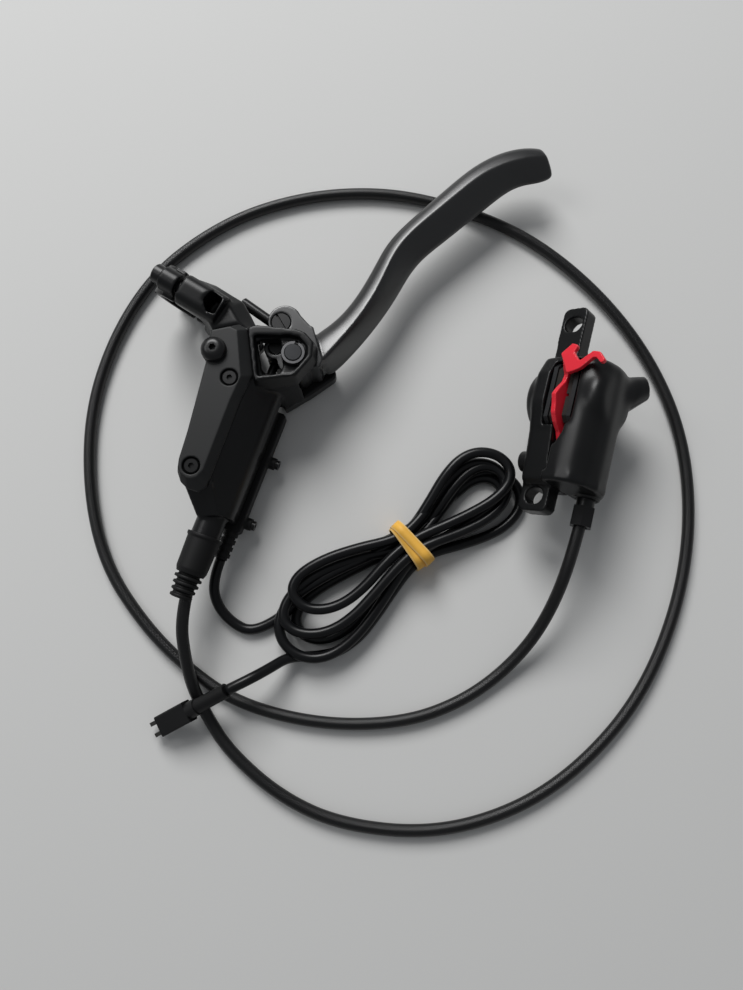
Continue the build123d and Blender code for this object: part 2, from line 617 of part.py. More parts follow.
with BuildPart() as lever_blade:
    for upper, lower, height in BLADE_SECTIONS:
        middle = Vector((upper[0] + lower[0]) / 2, (upper[1] + lower[1]) / 2)
        across = Vector(upper[0] - lower[0], upper[1] - lower[1])
        centre = middle.rotate(Axis.Z, BLADE_TURN)
        section_plane = Plane(
            origin=(centre.X, centre.Y, BLADE_Z),
            x_dir=across.rotate(Axis.Z, BLADE_TURN),
            z_dir=across.rotate(Axis.Z, BLADE_TURN - 90),
        )
        with BuildSketch(section_plane):
            with BuildLine():
                Spline(*[(x * across.length / 2, -z * height / 2) for x, z in BLADE_ROUND], periodic=True)
            make_face()
    loft()
    # hub, with a lug for the push rod and a longer one for the reach adjuster
    with BuildSketch(Plane.XY.offset(HUB_Z)) as hub_shape:
        with BuildLine():
            Polyline(
                polar(HUB_R - 0.2, 150), ROD_BARREL_AT, REACH_AT, (19.9, 7.6), (15.4, -0.8), (15.4, -3.4),
                (17.4, -6.4), (6.0, -11.0), (-0.2, -10.6), close=True,
            )
        make_face()
        Circle(HUB_R)
        with Locations(ROD_BARREL_AT):
            Circle(ROD_LUG_R)
        with Locations(REACH_LUG_AT):
            Circle(REACH_LUG_R)
    extrude(amount=HUB_TOP_Z - HUB_Z)
    with BuildSketch(Plane.XY.offset(BLADE_Z - FORK_GAP / 2)):
        with BuildLine():
            Polyline(
                polar(HUB_R + 0.4, 168), (-20, 12), (-20, 40), (30, 40), (22.5, 4.5), (12.4, 2.4),
                polar(HUB_R + 0.4, 62), polar(HUB_R + 0.4, 115), close=True,
            )
        make_face()
    extrude(amount=FORK_GAP, mode=Mode.SUBTRACT)
    with BuildSketch(Plane.XY):
        Circle(PIN_R + PIN_CLEAR)
        with Locations(ROD_BARREL_AT):
            Circle(ROD_BARREL_R + PIN_CLEAR)
        with Locations(REACH_AT):
            Circle(REACH_BARREL_R + PIN_CLEAR)
    extrude(amount=EAR_TOP_Z, mode=Mode.SUBTRACT)

with BuildPart() as reach_barrel:
    with BuildSketch(Plane.XY.offset(HUB_Z)):
        with Locations(REACH_AT):
            Circle(REACH_BARREL_R)
    extrude(amount=HUB_TOP_Z - HUB_Z)
    chamfer(reach_barrel.edges().filter_by(GeomType.CIRCLE), 0.3)
    reach_screw_axis = Plane(
        origin=(*REACH_AT, BLADE_Z), x_dir=(0, 0, 1), z_dir=(*polar(1, REACH_ROD_TURN), 0)
    )
    with BuildSketch(reach_screw_axis.offset(-REACH_BARREL_R - 1)):
        Circle(REACH_ROD_R + THREAD_CLEAR)
    extrude(amount=2 * REACH_BARREL_R + 2, mode=Mode.SUBTRACT)
    with BuildSketch(Plane((*REACH_AT, HUB_TOP_Z), x_dir=(*polar(1, 50), 0), z_dir=(0, 0, 1))):
        Rectangle(9, 1.0)
    extrude(amount=-1.2, mode=Mode.SUBTRACT)

with BuildPart() as reach_screw:
    with BuildSketch(reach_screw_axis.offset(-REACH_BARREL_R + 0.6)):
        Circle(REACH_ROD_R)
    extrude(amount=REACH_ROD_LEN + REACH_BARREL_R - 0.6)
    chamfer(reach_screw.edges().filter_by(GeomType.CIRCLE), 0.4)

save(lever_blade.part, "lever_blade", LEVER_PLACE)
save(reach_barrel.part, "reach_barrel", LEVER_PLACE)
save(reach_screw.part, "reach_screw", LEVER_PLACE)

# Push rod: a barrel in the lever's lug, a rod and the ball that bears in the piston
BALL_X = ROD_BARREL_AT[0] - ROD_LEN
with BuildPart() as push_rod:
    with BuildSketch(Plane.XY.offset(HUB_Z)):
        with Locations(ROD_BARREL_AT):
            Circle(ROD_BARREL_R)
    extrude(amount=HUB_TOP_Z - HUB_Z)
    chamfer(push_rod.edges().filter_by(GeomType.CIRCLE), 0.3)
    with BuildSketch(Plane.XZ.offset(-ROD_BARREL_AT[1])):
        with BuildLine():
            neck_x = BALL_X + sqrt(BALL_R**2 - ROD_R**2)
            ThreePointArc((BALL_X - BALL_R, CYL_Z), (BALL_X, CYL_Z + BALL_R), (neck_x, CYL_Z + ROD_R))
            Polyline(
                (neck_x, CYL_Z + ROD_R), (BALL_X + ROD_LEN, CYL_Z + ROD_R), (BALL_X + ROD_LEN, CYL_Z),
                (BALL_X - BALL_R, CYL_Z),
            )
        make_face()
    revolve(axis=Axis((0, ROD_BARREL_AT[1], CYL_Z), (1, 0, 0)))

# Master piston with a ball socket at the rear and two grooves for its cups
PISTON_Y = ROD_ARM - 0.1
PISTON_REAR_X = CYL_MOUTH_X - 2.5
PISTON_FRONT_X = PISTON_REAR_X - PISTON_LEN
PISTON_BODY_R = BORE_R - SLIDE_CLEAR
CUP_STARTS = (PISTON_FRONT_X + 2.0, PISTON_REAR_X - 7.5)
with BuildPart() as master_piston:
    with BuildSketch(Plane.YZ.offset(PISTON_FRONT_X)):
        with Locations((PISTON_Y, CYL_Z)):
            Circle(PISTON_BODY_R)
    extrude(amount=PISTON_LEN)
    for start in CUP_STARTS:
        with BuildSketch(Plane.YZ.offset(start)):
            with Locations((PISTON_Y, CYL_Z)):
                Circle(PISTON_BODY_R + 1)
                Circle(BORE_R - 1.8, mode=Mode.SUBTRACT)
        extrude(amount=CUP_W, mode=Mode.SUBTRACT)
    with Locations((BALL_X, PISTON_Y, CYL_Z)):
        Sphere(BALL_R + SOCKET_CLEAR, mode=Mode.SUBTRACT)
    with BuildSketch(Plane.YZ.offset(BALL_X)):
        with Locations((PISTON_Y, CYL_Z)):
            Circle(BALL_R + SOCKET_CLEAR)
    extrude(amount=PISTON_LEN, mode=Mode.SUBTRACT)

with BuildPart() as piston_cups:
    for start in CUP_STARTS:
        with BuildSketch(Plane.YZ.offset(start + 0.05)):
            with Locations((PISTON_Y, CYL_Z)):
                Circle(BORE_R - 0.02)
                Circle(BORE_R - 1.78, mode=Mode.SUBTRACT)
        extrude(amount=CUP_W - 0.1)

# Return spring in front of the piston, and the snap ring that keeps the piston in
SPRING_WIRE = 0.9
SPRING_R = BORE_R - SPRING_WIRE / 2 - 0.35
SPRING_LEN = PISTON_FRONT_X - BORE_END_X - 0.1
SPRING_TURNS = 5
with BuildPart() as return_spring:
    with BuildLine():
        Helix(pitch=(SPRING_LEN - SPRING_WIRE) / SPRING_TURNS, height=SPRING_LEN - SPRING_WIRE, radius=SPRING_R)
    with BuildSketch(Plane(origin=(SPRING_R, 0, 0), z_dir=(0, 1, 0))):
        Circle(SPRING_WIRE / 2)
    sweep()
spring_place = Location((BORE_END_X + 0.05 + SPRING_WIRE / 2, PISTON_Y, CYL_Z), (0, 90, 0))

with BuildPart() as cylinder_snap_ring:
    with BuildSketch(Plane.YZ.offset(CYL_MOUTH_X - 2.45)):
        with Locations((PISTON_Y, CYL_Z)):
            Circle(BORE_R + 0.55)
            Circle(BORE_R - 1.6, mode=Mode.SUBTRACT)
    extrude(amount=0.9)

save(push_rod.part, "push_rod", LEVER_PLACE)
save(master_piston.part, "master_piston", LEVER_PLACE)
save(piston_cups.part, "piston_cups", LEVER_PLACE)
save(return_spring.part, "return_spring", LEVER_PLACE * spring_place)
save(cylinder_snap_ring.part, "cylinder_snap_ring", LEVER_PLACE)

# Hose fitting at the lever: nut, olive and barbed insert, under a rubber boot with bellows
lever_hose_axis = Axis((0, PISTON_Y, CYL_Z), (1, 0, 0))
HOSE_START_X = NECK_END_X + 8.5
with BuildPart() as lever_hose_nut:
    with BuildSketch(Plane.YZ.offset(NECK_END_X)):
        with Locations((PISTON_Y, CYL_Z)):
            RegularPolygon(NUT_FLATS / 2, 6, major_radius=False)
    extrude(amount=-4.5)
    with BuildSketch(Plane.YZ.offset(NECK_END_X)):
        with Locations((PISTON_Y, CYL_Z)):
            Circle(NUT_SHANK_R)
    extrude(amount=5.9)
    with BuildSketch(Plane.YZ.offset(NECK_END_X - 5)):
        with Locations((PISTON_Y, CYL_Z)):
            Circle(HOSE_R + PIN_CLEAR)
    extrude(amount=12, mode=Mode.SUBTRACT)

RIB_PITCH = (BOOT_END_X - BELLOWS_END_X) / BELLOWS_RIBS
with BuildPart() as hose_boot:
    with BuildSketch(Plane.XZ.offset(-PISTON_Y)):
        with BuildLine():
            boot_profile = [
                (NECK_END_X - 5, CYL_Z + HOSE_R + PIN_CLEAR), (NECK_END_X - 5, CYL_Z + NUT_FLATS / 2 + 1.3),
                (NECK_END_X, CYL_Z + NUT_FLATS / 2 + 1.3), (NECK_END_X, CYL_Z + NECK_R + PIN_CLEAR),
                (BOOT_START_X, CYL_Z + NECK_R + PIN_CLEAR), (BOOT_START_X, CYL_Z + BOOT_R + 0.9),
                (BOOT_START_X - 1.2, CYL_Z + BOOT_R + 0.9), (BOOT_START_X - 1.8, CYL_Z + BOOT_R + 0.4),
                (BOOT_END_X + 2, CYL_Z + BOOT_R), (BOOT_END_X, CYL_Z + BOOT_R - 0.7),
            ]
            for rib in range(BELLOWS_RIBS):
                shrink = 0.35 * rib
                start = BOOT_END_X - rib * RIB_PITCH
                boot_profile.append((start, CYL_Z + 4.3 - shrink / 2))
                boot_profile.append((start - 0.3 * RIB_PITCH, CYL_Z + 4.3 - shrink / 2))
                boot_profile.append((start - 0.45 * RIB_PITCH, CYL_Z + 5.6 - shrink))
                boot_profile.append((start - 0.85 * RIB_PITCH, CYL_Z + 5.6 - shrink))
            boot_profile.append((BELLOWS_END_X, CYL_Z + 3.6))
            boot_profile.append((BELLOWS_END_X, CYL_Z + HOSE_R + PIN_CLEAR))
            Polyline(*boot_profile, close=True)
        make_face()
    revolve(axis=lever_hose_axis)

OLIVE_LEN = 2.5
with BuildPart() as olive:
    Cylinder(NUT_SHANK_R - 0.02, OLIVE_LEN)
    chamfer(olive.edges().filter_by(GeomType.CIRCLE), 0.7)
    Cylinder(HOSE_R + 0.03, OLIVE_LEN, mode=Mode.SUBTRACT)

INSERT_LEN = 12.0
with BuildPart() as insert:
    with BuildSketch():
        Circle(INSERT_R - 0.02)
    extrude(amount=-INSERT_LEN)
    with BuildSketch():
        Circle(HOSE_R)
    extrude(amount=0.4)
    with BuildSketch(Plane.XY.offset(1)):
        Circle(0.6)
    extrude(amount=-INSERT_LEN - 2, mode=Mode.SUBTRACT)

lever_olive_place = LEVER_PLACE * Location((HOSE_START_X - 1.35, PISTON_Y, CYL_Z), (0, 90, 0))
lever_insert_place = LEVER_PLACE * Location((HOSE_START_X, PISTON_Y, CYL_Z), (0, 90, 0))
HOSE_END_T = PORT_END_T + 7.0
caliper_olive_place = CALIPER_PLACE * Location((PORT_AT[0], HOSE_END_T - 1.35, PORT_AT[1]), (-90, 0, 0))
caliper_insert_place = CALIPER_PLACE * Location((PORT_AT[0], HOSE_END_T, PORT_AT[1]), (-90, 0, 0))

save(lever_hose_nut.part, "lever_hose_nut", LEVER_PLACE)
save(hose_boot.part, "hose_boot", LEVER_PLACE)
save(Compound(children=[lever_olive_place * olive.part, caliper_olive_place * olive.part]), "hose_olives")
save(Compound(children=[lever_insert_place * insert.part, caliper_insert_place * insert.part]), "hose_inserts")

# Sensor under the cylinder, with the two screws that hold it and its ribbed strain relief
SENSOR_MID_X = (SENSOR_X[0] + SENSOR_X[1]) / 2
SENSOR_MID_Y = (SENSOR_Y[0] + SENSOR_Y[1]) / 2
SENSOR_LEAD_Y = 2.5
SENSOR_LEAD_Z = 6.6
with BuildPart() as sensor_housing:
    with BuildSketch(Plane.XY.offset(SENSOR_TOP_Z - SENSOR_H)) as sensor_shape:
        with Locations((SENSOR_MID_X, SENSOR_MID_Y)):
            Rectangle(SENSOR_X[1] - SENSOR_X[0], SENSOR_Y[1] - SENSOR_Y[0])
        fillet(sensor_shape.vertices(), 1.5)
    extrude(amount=SENSOR_H)
    chamfer(sensor_housing.faces().sort_by(Axis.Z)[0].edges(), 0.8)
    with BuildSketch(Plane.XZ.offset(-SENSOR_Y[0])):
        with Locations(*[(x, SENSOR_LEAD_Z) for x in SENSOR_SCREWS]):
            Circle(2.6)
    extrude(amount=3.2)
    with BuildSketch(Plane.XZ.offset(-SENSOR_Y[0] + 4)):
        with Locations(*[(x, SENSOR_LEAD_Z) for x in SENSOR_SCREWS]):
            Circle(1.0 + THREAD_CLEAR)
    extrude(amount=-9, mode=Mode.SUBTRACT)

with BuildPart() as sensor_screws:
    with BuildSketch(Plane.XZ.offset(-SENSOR_Y[0] + 3.2)):
        with Locations(*[(x, SENSOR_LEAD_Z) for x in SENSOR_SCREWS]):
            Circle(SENSOR_SCREW_R)
    extrude(amount=1.4)
    with BuildSketch(Plane.XZ.offset(-SENSOR_Y[0] + 4.6)):
        with Locations(*[(x, SENSOR_LEAD_Z) for x in SENSOR_SCREWS]):
            RegularPolygon(1.0, 6)
    extrude(amount=-0.9, mode=Mode.SUBTRACT)
    with BuildSketch(Plane.XZ.offset(-SENSOR_Y[0] + 3.2)):
        with Locations(*[(x, SENSOR_LEAD_Z) for x in SENSOR_SCREWS]):
            Circle(1.0)
    extrude(amount=-7.5)

RELIEF_PITCH = RELIEF_LEN / 4
with BuildPart() as sensor_relief:
    with BuildSketch(Plane.XZ.offset(-SENSOR_LEAD_Y)):
        with BuildLine():
            relief_profile = [(SENSOR_X[0], SENSOR_LEAD_Z)]
            for rib in range(4):
                start = SENSOR_X[0] - rib * RELIEF_PITCH
                relief_profile.append((start, SENSOR_LEAD_Z + RELIEF_R))
                relief_profile.append((start - 0.62 * RELIEF_PITCH, SENSOR_LEAD_Z + RELIEF_R))
                relief_profile.append((start - 0.62 * RELIEF_PITCH, SENSOR_LEAD_Z + CABLE_R + 0.4))
                relief_profile.append((start - RELIEF_PITCH, SENSOR_LEAD_Z + CABLE_R + 0.4))
            relief_profile.append((SENSOR_X[0] - RELIEF_LEN, SENSOR_LEAD_Z))
            Polyline(*relief_profile, close=True)
        make_face()
    revolve(axis=Axis((0, SENSOR_LEAD_Y, SENSOR_LEAD_Z), (1, 0, 0)))

save(sensor_housing.part, "sensor_housing", LEVER_PLACE)
save(sensor_screws.part, "sensor_screws", LEVER_PLACE)
save(sensor_relief.part, "sensor_relief", LEVER_PLACE)

# Caliper: each half is drawn in the plane of the disc, with y along the slots and z out of the mouth
CALIPER_OUTLINE = (
    (-33.0, 1.0), (-31.0, 3.0), (-12.0, 5.5), (0.0, 8.6), (12.0, 8.6), (20.0, 5.0), (22.0, -1.0),
    (22.0, -12.0), (18.0, -18.0), (-26.0, -18.0), (-33.0, -13.0),
)
BRIDGE_OUTLINE = ((-12.0, -16.0), (20.0, -16.0), (20.0, -24.0), (18.0, -26.0), (-8.0, -26.0), (-12.0, -22.0))
UPPER_WEB_OUTLINE = ((14.0, 0.0), (27.0, 0.0), (27.0, -LUG_H), (20.0, -15.0), (14.0, -15.0))
LUG_CORNER = 2.8
UPPER_LUG_MIDDLE = 30.0
# Section of the outer half across the line of the slots, from the disc's plane round to it
OUTER_SECTION = (
    (DISC_X, 8.6), (12.4, 8.6), (17.6, 6.8), (21.6, 1.8), (23.4, -5.0), (22.8, -12.0), (19.2, -17.4),
    (12.5, -19.4), (DISC_X, -19.4),
)
PAD_OUTLINE = (
    (-9.0, -9.0), (-9.0, 4.5), (-6.5, 7.0), (14.5, 7.0), (17.0, 4.5), (17.0, -9.0), (12.0, -15.0),
    (-0.1, -15.0), (-0.4, -17.0), (-0.8, -22.9), (-7.6, -22.9), (-7.8, -15.0),
)
LINING_OUTLINE = (
    (-8.2, -9.0), (-8.2, 3.6), (-5.8, 6.0), (13.8, 6.0), (16.2, 3.6), (16.2, -9.0), (11.6, -13.6), (-5.0, -13.6),
)
PLATE_X = DISC_X - PAD_GAP / 2 - PAD_T - PLATE_T
EAR_SLOT_W = 9.0
BORE_FLOOR_X = PLATE_X - WHEEL_PISTON_LEN - 1.5
SEAL_W = 2.2
SEAL_X = PLATE_X - 4.6

# Round boss over a piston, from the disc's plane to its domed end
with BuildPart() as inner_boss:
    with BuildSketch(Plane.YZ.offset(INNER_FACE_X)):
        with Locations(PISTON_AT):
            Circle(PISTON_BOSS_R)
    extrude(amount=DISC_X - INNER_FACE_X)
    fillet(inner_boss.edges().sort_by(Axis.X)[0], 3.0)
with BuildPart() as outer_boss:
    with BuildSketch(Plane.YZ.offset(DISC_X)):
        with Locations(PISTON_AT):
            Circle(PISTON_BOSS_R)
    extrude(amount=OUTER_FACE_X - DISC_X)
    fillet(outer_boss.edges().sort_by(Axis.X)[-1], 4.0)

with BuildPart() as caliper_inner:
    with BuildSketch(Plane.YZ.offset(INNER_FLANK_X)):
        with BuildLine():
            Polyline(*CALIPER_OUTLINE, close=True)
        make_face()
    extrude(amount=DISC_X - INNER_FLANK_X)
    fillet(caliper_inner.faces().sort_by(Axis.X)[0].edges(), 1.6)
    with BuildSketch(Plane.YZ.offset(BRIDGE_X[0])):
        with BuildLine():
            Polyline(*BRIDGE_OUTLINE, close=True)
        make_face()
    extrude(amount=DISC_X - BRIDGE_X[0])
    add(inner_boss.part)
    with BuildSketch(Plane.YZ.offset(UPPER_LUG_X[0])):
        with BuildLine():
            Polyline(*UPPER_WEB_OUTLINE, close=True)
        make_face()
    extrude(amount=UPPER_LUG_X[1] - UPPER_LUG_X[0])
    with BuildSketch(Plane.XY.offset(-LUG_H)) as upper_lug:
        with Locations(((UPPER_LUG_X[0] + UPPER_LUG_X[1]) / 2, UPPER_LUG_MIDDLE)):
            Rectangle(UPPER_LUG_X[1] - UPPER_LUG_X[0], 2 * (SLOT_PITCH / 2 + LUG_END - UPPER_LUG_MIDDLE))
        fillet(upper_lug.vertices().group_by(Axis.Y)[-1], LUG_CORNER)
    extrude(amount=LUG_H)
    with BuildSketch(Plane.XY.offset(-LUG_H)) as lower_lug:
        with Locations(((LOWER_LUG_X[0] + LOWER_LUG_X[1]) / 2, -SLOT_PITCH / 2 + 1)):
            Rectangle(LOWER_LUG_X[1] - LOWER_LUG_X[0], 2 * LUG_END)
        fillet(lower_lug.vertices().group_by(Axis.Y)[0], LUG_CORNER)
    extrude(amount=LUG_H)
    # pad pocket, disc slot, piston bore, seal groove, mounting slots and screw holes
    with BuildSketch(Plane.YZ.offset(DISC_X - POCKET_HALF)):
        with Locations(((POCKET_T[0] + POCKET_T[1]) / 2, POCKET_R + 20)):
            Rectangle(POCKET_T[1] - POCKET_T[0], 40)
        with Locations((PAD_PIN_AT[0], PAD_PIN_AT[1] + 3)):
            Rectangle(EAR_SLOT_W, 11.0)
    extrude(amount=2 * POCKET_HALF, mode=Mode.SUBTRACT)
    with BuildSketch(Plane.YZ.offset(DISC_X - DISC_SLOT_W / 2)):
        with Locations(DISC_AT):
            Circle(DISC_R + 0.8)
    extrude(amount=DISC_SLOT_W, mode=Mode.SUBTRACT)
    with BuildSketch(Plane.YZ.offset(BORE_FLOOR_X)):
        with Locations(PISTON_AT):
            Circle(PISTON_R + SLIDE_CLEAR)
    extrude(amount=PLATE_X - BORE_FLOOR_X, mode=Mode.SUBTRACT)
    with BuildSketch(Plane.YZ.offset(SEAL_X)):
        with Locations(PISTON_AT):
            Circle(PISTON_R + 2.1)
    extrude(amount=SEAL_W, mode=Mode.SUBTRACT)
    with BuildSketch(Plane.XY.offset(-LUG_H - 1)):
        with Locations((MOUNT_SLOT_X, SLOT_PITCH / 2), (MOUNT_SLOT_X, -SLOT_PITCH / 2)):
            SlotOverall(MOUNT_SLOT_L, MOUNT_SLOT_W)
    extrude(amount=LUG_H + 2, mode=Mode.SUBTRACT)
    with BuildSketch(Plane.YZ.offset(INNER_FACE_X)):
        with Locations(*BODY_BOLTS):
            Circle(BODY_BOLT_R + THREAD_CLEAR)
    extrude(amount=DISC_X - INNER_FACE_X, mode=Mode.SUBTRACT)
    with BuildSketch(Plane.YZ.offset(INNER_FACE_X)):
        with Locations(PAD_PIN_AT):
            Circle(PAD_PIN_R + THREAD_CLEAR)
    extrude(amount=DISC_X - INNER_FACE_X, mode=Mode.SUBTRACT)

with BuildPart() as caliper_outer:
    with BuildSketch(Plane.XZ.offset(-OUTER_TOP_T)) as outer_section:
        with BuildLine():
            Polyline(*OUTER_SECTION, close=True)
        make_face()
        fillet(outer_section.vertices().filter_by(lambda corner: corner.X > DISC_X + 1), 2.5)
    extrude(amount=OUTER_TOP_T - PORT_END_T - 1)
    for end, rounding in ((-1, 4.0), (0, 1.5)):
        rim = caliper_outer.faces().sort_by(Axis.Y)[end].edges()
        fillet(rim.filter_by(lambda edge: edge.center().X > DISC_X + 0.1), rounding)
    with BuildSketch(Plane.YZ.offset(DISC_X)):
        with BuildLine():
            Polyline(*BRIDGE_OUTLINE, close=True)
        make_face()
    extrude(amount=BRIDGE_X[1] - DISC_X)
    add(outer_boss.part)
    # hose port towards the lower lug and bleed boss at the back
    with BuildSketch(Plane.XZ.offset(-PORT_END_T)):
        with Locations(PORT_AT):
            Circle(PORT_BOSS_R)
    extrude(amount=PORT_END_T + 10)
    bleed_axis = Plane(origin=BLEED_BOSS_AT, z_dir=BLEED_BOSS_DIR)
    bleed_root = Plane(origin=BLEED_BOSS_ROOT, z_dir=BLEED_BOSS_DIR)
    for boss_plane, boss_r in zip((bleed_root, bleed_axis.offset(BLEED_BOSS_LEN)), BLEED_BOSS_R):
        with BuildSketch(boss_plane):
            Circle(boss_r)
    loft()
    with BuildSketch(Plane.YZ.offset(DISC_X - 1)):
        with Locations(((POCKET_T[0] + POCKET_T[1]) / 2, POCKET_R + 20)):
            Rectangle(POCKET_T[1] - POCKET_T[0], 40)
        with Locations((PAD_PIN_AT[0], PAD_PIN_AT[1] + 3)):
            Rectangle(EAR_SLOT_W, 11.0)
    extrude(amount=POCKET_HALF + 1, mode=Mode.SUBTRACT)
    with BuildSketch(Plane.YZ.offset(DISC_X - DISC_SLOT_W / 2)):
        with Locations(DISC_AT):
            Circle(DISC_R + 0.8)
    extrude(amount=DISC_SLOT_W, mode=Mode.SUBTRACT)
    with BuildSketch(Plane.YZ.offset(2 * DISC_X - BORE_FLOOR_X)):
        with Locations(PISTON_AT):
            Circle(PISTON_R + SLIDE_CLEAR)
    extrude(amount=BORE_FLOOR_X - PLATE_X, mode=Mode.SUBTRACT)
    with BuildSketch(Plane.YZ.offset(2 * DISC_X - SEAL_X - SEAL_W)):
        with Locations(PISTON_AT):
            Circle(PISTON_R + 2.1)
    extrude(amount=SEAL_W, mode=Mode.SUBTRACT)
    with BuildSketch(Plane.YZ.offset(DISC_X)):
        with Locations(*BODY_BOLTS):
            Circle(BODY_BOLT_R + THREAD_CLEAR)
        with Locations(PAD_PIN_AT):
            Circle(PAD_PIN_R + THREAD_CLEAR)
    extrude(amount=8.0, mode=Mode.SUBTRACT)
    # room for the pad pin's clip beside the loaf-shaped body
    with BuildSketch(Plane.YZ.offset(BRIDGE_X[1])):
        with Locations(PAD_PIN_AT):
            Circle(CLIP_ROOM_R)
    extrude(amount=CLIP_ROOM_R, mode=Mode.SUBTRACT)
    with BuildSketch(Plane.XZ.offset(-PORT_END_T)):
        with Locations(PORT_AT):
            Circle(NUT_SHANK_R + THREAD_CLEAR)
    extrude(amount=-7.5, mode=Mode.SUBTRACT)
    with BuildSketch(Plane.XZ.offset(-PORT_END_T)):
        with Locations(PORT_AT):
            Circle(PORT_R)
    extrude(amount=-34.0, mode=Mode.SUBTRACT)
    with BuildSketch(bleed_axis):
        Circle(1.2)
    extrude(amount=BLEED_BOSS_LEN, mode=Mode.SUBTRACT)
    with BuildSketch(bleed_axis.offset(BLEED_BOSS_LEN)):
        Circle(2.4)
    extrude(amount=-9, mode=Mode.SUBTRACT)
    with BuildSketch(bleed_axis.offset(BLEED_BOSS_LEN)):
        Circle(3.6)
    extrude(amount=-1.6, mode=Mode.SUBTRACT)

save(caliper_inner.part, "caliper_inner_half", CALIPER_PLACE)
save(caliper_outer.part, "caliper_outer_half", CALIPER_PLACE)

# Pistons, seals, pads, bolts, pad pin and pad spring of the caliper
with BuildPart() as inner_piston:
    with BuildSketch(Plane.YZ.offset(PLATE_X - WHEEL_PISTON_LEN)):
        with Locations(PISTON_AT):
            Circle(PISTON_R)
    extrude(amount=WHEEL_PISTON_LEN)
    with BuildSketch(Plane.YZ.offset(PLATE_X)):
        with Locations(PISTON_AT):
            Circle(PISTON_R - 2.2)
    extrude(amount=-5.5, mode=Mode.SUBTRACT)
    chamfer(inner_piston.edges().filter_by(GeomType.CIRCLE).group_by(SortBy.RADIUS)[-1], 0.4)

with BuildPart() as inner_seal:
    with BuildSketch(Plane.YZ.offset(SEAL_X + 0.05)):
        with Locations(PISTON_AT):
            Circle(PISTON_R + 2.05)
            Circle(PISTON_R + 0.02, mode=Mode.SUBTRACT)
    extrude(amount=SEAL_W - 0.1)

with BuildPart() as inner_plate:
    with BuildSketch(Plane.YZ.offset(PLATE_X)) as plate_shape:
        with BuildLine():
            Polyline(*PAD_OUTLINE, close=True)
        make_face()
        fillet(plate_shape.vertices(), 0.6)
        with Locations(PAD_PIN_AT):
            Circle(PAD_PIN_R + PIN_CLEAR, mode=Mode.SUBTRACT)
    extrude(amount=PLATE_T)

with BuildPart() as inner_lining:
    with BuildSketch(Plane.YZ.offset(PLATE_X + PLATE_T)) as lining_shape:
        with BuildLine():
            Polyline(*LINING_OUTLINE, close=True)
        make_face()
        fillet(lining_shape.vertices(), 0.8)
    extrude(amount=PAD_T)
    with BuildSketch(Plane.YZ.offset(PLATE_X + PLATE_T + PAD_T)):
        with Locations((4.0, -3.5)):
            Rectangle(1.2, 30, rotation=8)
    extrude(amount=-1.2, mode=Mode.SUBTRACT)

disc_plane = Plane.YZ.offset(DISC_X)
outer_pieces = (
    (inner_piston, "outer_piston"), (inner_seal, "outer_seal"), (inner_plate, "outer_pad_plate"),
    (inner_lining, "outer_pad_lining"),
)
save(inner_piston.part, "inner_piston", CALIPER_PLACE)
save(inner_seal.part, "inner_seal", CALIPER_PLACE)
save(inner_plate.part, "inner_pad_plate", CALIPER_PLACE)
save(inner_lining.part, "inner_pad_lining", CALIPER_PLACE)
for piece, label in outer_pieces:
    save(mirror(piece.part, about=disc_plane), label, CALIPER_PLACE)

with BuildPart() as body_bolts:
    for at, seat in zip(BODY_BOLTS, (INNER_FLANK_X, BRIDGE_X[0])):
        with BuildSketch(Plane.YZ.offset(seat)):
            with Locations(at):
                Circle(BODY_BOLT_HEAD_R)
        extrude(amount=-BODY_BOLT_HEAD_H)
        with BuildSketch(Plane.YZ.offset(seat - BODY_BOLT_HEAD_H)):
            with Locations(at):
                RegularPolygon(2.0, 6, major_radius=False)
        extrude(amount=2.4, mode=Mode.SUBTRACT)
        with BuildSketch(Plane.YZ.offset(seat)):
            with Locations(at):
                Circle(BODY_BOLT_R)
        extrude(amount=DISC_X + 7.0 - seat)

PIN_START_X = BRIDGE_X[0]
PIN_END_X = BRIDGE_X[1] + 2.0
with BuildPart() as pad_pin:
    with BuildSketch(Plane.YZ.offset(PIN_START_X)):
        with Locations(PAD_PIN_AT):
            Circle(PAD_PIN_R)
    extrude(amount=PIN_END_X - PIN_START_X)
    with BuildSketch(Plane.YZ.offset(PIN_START_X - 1.2)):
        with Locations(PAD_PIN_AT):
            Circle(2.4)
    extrude(amount=1.2)

with BuildPart() as pad_clip:
    with BuildSketch(Plane.YZ.offset(BRIDGE_X[1] + 0.4)):
        with Locations(PAD_PIN_AT):
            Circle(2.7)
            Circle(PAD_PIN_R + 0.02, mode=Mode.SUBTRACT)
        with Locations((PAD_PIN_AT[0] + 3.0, PAD_PIN_AT[1])):
            Rectangle(3.4, 1.6, mode=Mode.SUBTRACT)
    extrude(amount=0.8)

# The pad spring is a bent strip on the pin, between the two plates
SPRING_GAP = 0.55
SPRING_T = 0.35
with BuildPart() as pad_spring:
    with BuildSketch(Plane.XZ.offset(-PAD_PIN_AT[0] - 3.8)):
        with BuildLine():
            left = PLATE_X + PLATE_T + SPRING_GAP
            right = 2 * DISC_X - left
            Polyline(
                (left, -16.6), (left, -22.9), (right, -22.9), (right, -16.6), (right - SPRING_T, -16.6),
                (right - SPRING_T, -22.9 + SPRING_T), (left + SPRING_T, -22.9 + SPRING_T),
                (left + SPRING_T, -16.6), close=True,
            )
        make_face()
    extrude(amount=7.6)
    with BuildSketch(Plane.YZ):
        with Locations(PAD_PIN_AT):
            Circle(PAD_PIN_R + 0.02)
    extrude(amount=20, mode=Mode.SUBTRACT)

